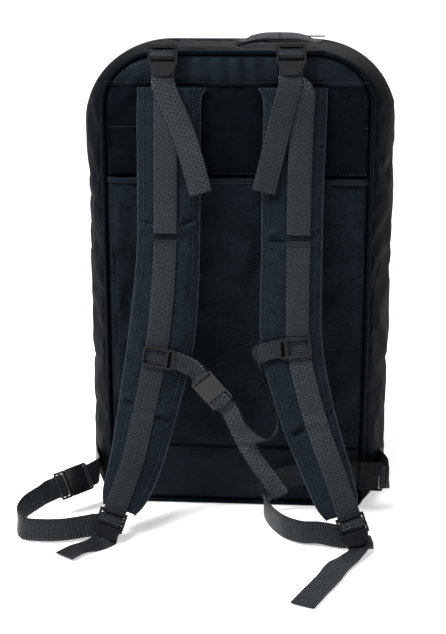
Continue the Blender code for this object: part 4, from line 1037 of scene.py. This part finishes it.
def slider_frame(side):
    return strap_spot(side, STERNUM_Z[side], 2 * GAP + WEB_THICK + 0.0008 + 0.0015)


def sternum():
    a = math.radians(STERNUM_TURN)
    ahead, outward = Vector((math.cos(a), 0, -math.sin(a))), Vector((0, -1, 0))
    turned = Matrix((ahead, outward.cross(ahead), outward)).transposed().to_4x4()
    spot = Matrix.Translation(STERNUM_BUCKLE) @ turned
    left, right = slider_frame("left"), slider_frame("right")
    reach = 0.014 + 0.0075
    up = spot.to_3x3() @ Vector((0, 1, 0))
    wide = SMALL_WEB - 0.001
    points = [left @ Vector((reach - 0.0035, 0, 0)), left @ Vector((reach + 0.006, 0, 0)),
              spot @ Vector((-0.011, 0, 0)), spot @ Vector((0.0030, 0, 0))]
    across = [left.to_3x3() @ Vector((0, 1, 0))] * 2 + [up] * 2
    attach(ribbon("sternum_left_web", points, across, wide, 2 * WEB_THICK), "sternum_left", "webbing",
           ["sternum_web_left"])
    points = [right @ Vector((-reach + 0.0035, 0, 0)), right @ Vector((-reach - 0.006, 0, -0.0005))]
    across = [right.to_3x3() @ Vector((0, 1, 0))] * 2 + list(map(Vector, FOLD_ACROSS))
    attach(ribbon("sternum_right_web", points + list(map(Vector, FOLD_ROUTE)), across, wide, 2 * WEB_THICK),
           "sternum_right", "webbing", ["sternum_fold_right"])
    out = FEMALE_LONG + GAP + MALE_LONG
    base = [spot @ Vector((out + r, 0, 0.0015)) for r in (5 * GAP, 0.010)]
    loop = ribbon("sternum_slack", base + list(map(Vector, LOOP_ROUTE)),
                  [up, up] + list(map(Vector, LOOP_ACROSS)), wide)
    bend(loop, "sternum_plug", "sternum_left", base[1], Vector(LOOP_ROUTE[3]), "webbing", ["sternum_loop"])
    base = [spot @ Vector((out + r, 0, -0.0015)) for r in (5 * GAP, 0.010)]
    tail = ribbon("sternum_end", base + list(map(Vector, STERNUM_TAIL)),
                  [up, up] + list(map(Vector, STERNUM_TAIL_ACROSS)), wide, hem=0.018)
    attach(tail, "sternum_plug", "webbing", ["sternum_tail"])
    bar_wraps("sternum_wrap", spot, SMALL_WEB + 0.0004, "sternum_plug", "sternum_left")


# Zips, handle and front

def zip_rows(sign_across, near, far, lift):
    """Edges of a tape along the main zip: lists of points at two distances from its middle."""
    deep, high = FRONT_Y - ZIP_Y, ZIP_TURN_Z - HINGE_Z
    spots = []
    for k in range(13):
        a = math.radians(60) * (1 - k / 12)
        side = Vector((math.cos(a) / deep, math.sin(a) / high)).normalized() * sign_across
        spots.append((Vector((FRONT_Y - deep * math.cos(a), ZIP_TURN_Z - high * math.sin(a))), side))
    foot = corner_foot(ZIP_Y)
    for place in [ZIP_TURN_Z + (foot - ZIP_TURN_Z) * k / 60 for k in range(1, 60)] + TOP_PLACES:
        spots.append((Vector((ZIP_Y, place)), Vector((sign_across, 0))))
    edges = []
    for reach in (near, far):
        right = [skin(1, *reversed(tuple(c + s * reach)), lift) for c, s in spots]
        edges.append(right + mirrored(right[:-1])[::-1])
    return edges


def main_zip():
    for name, sign, body, node_name in (("rear_tape", -1, "pack", "rear_zip_tape"),
                                        ("lid_tape", 1, "lid", "lid_zip_tape")):
        tables = [zip_rows(sign, 0.0014 + 0.0094 * s, 0.0014, 0.0008) for s in (0, 0.33, 0.66, 1)]
        rows = [[t[0][i] for t in tables] for i in range(len(tables[0][0]))]
        tape = thicken(surface(name, rows, TAPE), 0.0007, offset=0.0)
        attach(tape, body, "zip", [node_name])
        inner, outer = zip_rows(sign, 0.0004, 0.0027, 0.0016)
        found, far = [], 0.0
        for i in range(len(inner) - 1):
            span = (inner[i + 1] - inner[i]).length
            ahead = (inner[i + 1] - inner[i]).normalized()
            while far < span:
                a, b = (edge[i].lerp(edge[i + 1], far / span) for edge in (inner, outer))
                across = (b - a) / 2
                found.append(((a + b) / 2, ahead * 0.00050, across, ahead.cross(across.normalized()) * 0.0007))
                far += 0.0017
            far -= span
        attach(boxes(name + "_coil", found, COIL), body, "zip")
        line = [(p, (p.x, 0, 0.02) if p.z < OVER_TOP_Z else (p.x * 0.3, 0, 0.1))
                for p in zip_rows(sign, 0.0105, 0.02, 0.0013)[0]]
        attach(stitches(name + "_stitch", line), body, "zip")


def handle():
    low, high = corners("carry_handle")
    x, y = (low.x + high.x) / 2, (low.y + high.y) / 2
    foot, top = (high.x - low.x) / 2, low.z + WEB_THICK + 0.0006
    rise = high.z - low.z - 2 * WEB_THICK - 0.0075
    points = [(x + foot * u, y, top + rise * v) for u, v in
              ((-1.0, 0), (-0.80, 0.02), (-0.62, 0.55), (-0.36, 0.94), (0, 1.0), (0.36, 0.94), (0.62, 0.55),
               (0.80, 0.02), (1.0, 0))]
    across = [Vector((0, 1, 0.30 * math.sin(math.pi * k / 8))) for k in range(9)]
    for name, order in (("handle_web_a", slice(0, 5)), ("handle_web_b", slice(8, 3, -1))):
        half = ribbon(name, points[order], across[order], WEB_WIDE - 0.002, 2 * WEB_THICK, mat=GRIP)
        foot, end = points[order][0], points[order][3]
        nodes = ["carry_handle"] if name.endswith("a") else ()
        bend(half, "pack", "handle", (foot[0] + (end[0] - foot[0]) * 0.25, foot[1], foot[2]),
             (end[0], foot[1], foot[2]), "webbing", nodes)


def rounded_face(name, low, high, thick, edge, mat, relief, cols=50, lines=60, corner=POCKET_CORNER):
    """A filled cloth panel on the front, thickest in the middle, with round corners."""
    rows = []
    for k in range(lines + 1):
        z = low.z + (high.z - low.z) * (k / lines)
        near_end = min(z - low.z, high.z - z)
        cut_in = corner - math.sqrt(max(0.0, corner ** 2 - (corner - min(corner, near_end)) ** 2))
        row = []
        for c in range(cols + 1):
            s = 2 * c / cols - 1
            half = (high.x - low.x) / 2 - cut_in
            x = (low.x + high.x) / 2 + s * half
            near = min(half - abs(s) * half, near_end)
            share = min(1.0, near / edge)
            rise = thick * math.sqrt(share * (2 - share))
            row.append(Vector((x, low.y + rise + relief(x, z) * share, z)))
        rows.append(row)
    return surface(name, rows, mat)


def front():
    low, high = corners("lid_pocket")
    pocket = rounded_face("pocket_cloth", low, high, high.y - low.y - 0.001, 0.013, NYLON,
                          lambda x, z: -0.0016 + 0.0016 * rough_at((x, 0, z * 0.7), 22, 7.0))
    pin = [1.0 if v.co.y < low.y + 0.008 or abs(v.co.z - 0.318) < 0.007 else 0.03 for v in pocket.data.vertices]
    settle(pocket, pin, 0.5, 0.02, 12, 0.002, 0.4)
    attach(pocket, "lid", "shell_nylon", ["lid_pocket"])
    rim = []
    for side, start, z in ((1, -90, low.z + POCKET_CORNER), (1, 0, high.z - POCKET_CORNER),
                           (-1, 90, high.z - POCKET_CORNER), (-1, 180, low.z + POCKET_CORNER)):
        for a in [math.radians(start + 15 * k) for k in range(7)]:
            rim.append(Vector(((high.x - POCKET_CORNER) * side + POCKET_CORNER * math.cos(a), low.y + 0.0012,
                               z + POCKET_CORNER * math.sin(a))))
    attach(cord_along("pocket_cord", rim + [rim[0]], 0.0016, DARK, 8), "lid", "dark_nylon")
    low, high = corners("pocket_zip")
    face = [[Vector((low.x + (high.x - low.x) * k / 60, high.y - 0.0002, low.z + (high.z - low.z) * j / 6))
             for j in range(7)] for k in range(61)]
    attach(thicken(surface("pocket_tape", face, TAPE), 0.0008), "lid", "zip", ["pocket_zip"])
    count = int((high.x - low.x) / 0.0017)
    tooth = (Vector((0.0005, 0, 0)), Vector((0, 0, 0.0022)), Vector((0, 0.0003, 0)))
    y, z = high.y + 0.0002, (low.z + high.z) / 2
    teeth = [(Vector((low.x + (high.x - low.x) * (k + 0.5) / count, y, z)), *tooth) for k in range(count)]
    attach(boxes("pocket_coil", teeth, COIL), "lid", "zip")
    low, high = corners("patch_field")
    patch = rounded_face("patch_cloth", low, high, high.y - low.y, 0.003, LOOP_CLOTH,
                         lambda x, z: 0.0003 * rough_at((x, 0, z), 300), 90, 44, 0.008)
    attach(patch, "lid", "strap_fabric", ["patch_field"])
    middle = (low.z + high.z) / 2
    spots = ((low.x, low.z), (high.x, low.z), (high.x, high.z), (low.x, high.z), (low.x, low.z))
    rim = [Vector((ax + (bx - ax) * k / 8, high.y - 0.0001, az + (bz - az) * k / 8))
           for (ax, az), (bx, bz) in zip(spots, spots[1:]) for k in range(9)]
    line = [(Vector((p.x * 0.965, p.y, middle + (p.z - middle) * 0.92)), (0, 1, 0)) for p in rim]
    attach(stitches("patch_stitch", line), "lid", "webbing")
    low, high = corners("mesh_pocket")
    rows = [[Vector((low.x + (high.x - low.x) * c / 40,
                     low.y + 0.0020 - 0.0016 * rough_at((c * 0.1, 0, k * 0.1), 3),
                     low.z + (high.z - low.z) * k / 30)) for c in range(41)] for k in range(31)]
    mesh_cloth = attach(surface("mesh_cloth", rows, LOOP_CLOTH), "lid", "lining", ["mesh_pocket"])


def dividers():
    for name in ("divider_lower", "divider_upper"):
        low, high = corners(name)
        rows = []
        for k in range(25):
            y = low.y + (high.y - low.y) * k / 24
            wide = min(high.x, SEAM_HALF + bulge(y) - WALL * 1.5 - 0.001)
            row = []
            for face in (1, -1):
                for c in range(21):
                    s = (1 - c / 10) * face
                    near = min(1.0, (1 - abs(s)) * wide / 0.008, min(y - low.y, high.y - y) / 0.008 + 0.05)
                    puff = 0.0024 * math.sqrt(max(0.04, near * (2 - near)))
                    puff += 0.0004 * rough_at((s, y, face), 20)
                    row.append(Vector((s * wide, y, (low.z + high.z) / 2 + face * puff)))
            rows.append(row)
        made = surface(name.replace("divider", "shelf"), rows, LINING, around=True, caps=True)
        attach(made, "pack", "lining", [name])


def hard_parts():
    """The hard parts keep their CAD shape, with rounded edges and their finish."""
    moulded_parts = [n for n in NODES if n.startswith((
        "top_lock", "adjuster_left", "adjuster_right", "side_buckle", "sternum_buckle", "sternum_slider",
        "zip_slider", "pocket_slider"))]
    pulls = ("zip_pull_left", "zip_pull_right", "pocket_pull")
    for names, mat, round_edge in ((moulded_parts, BUCKLE, 0.00045), (pulls, COIL, 0.0003),
                                   (("frame_sheet",), SHEET, 0), (("stay_left", "stay_right"), BARE_METAL, 0)):
        for obj in [NODES[name] for name in names]:
            obj.data.materials.clear()
            obj.data.materials.append(mat)
            if round_edge:
                edge = obj.modifiers.new("edge", "BEVEL")
                edge.width, edge.segments, edge.limit_method = round_edge, 2, "ANGLE"


def floor():
    mat, _, main = shader("floor", (0.86, 0.86, 0.86), 0.9)
    main.inputs["Emission Color"].default_value = (1, 1, 1, 1)
    main.inputs["Emission Strength"].default_value = 0.45
    surface("floor", [[Vector((x, y, -0.0004)) for x in (-30, 30)] for y in (-8, 40)], mat)


set_camera()
set_light()
rear_body()
lid_body()
pipings()
back_panels()
for each in SIDES:
    strap(each)
    strap_web(each)
    lifter(each)
    adjuster_tail(each)
    lower_web(each)
    side_anchor(each)
sternum()
main_zip()
handle()
front()
dividers()
hard_parts()
floor()
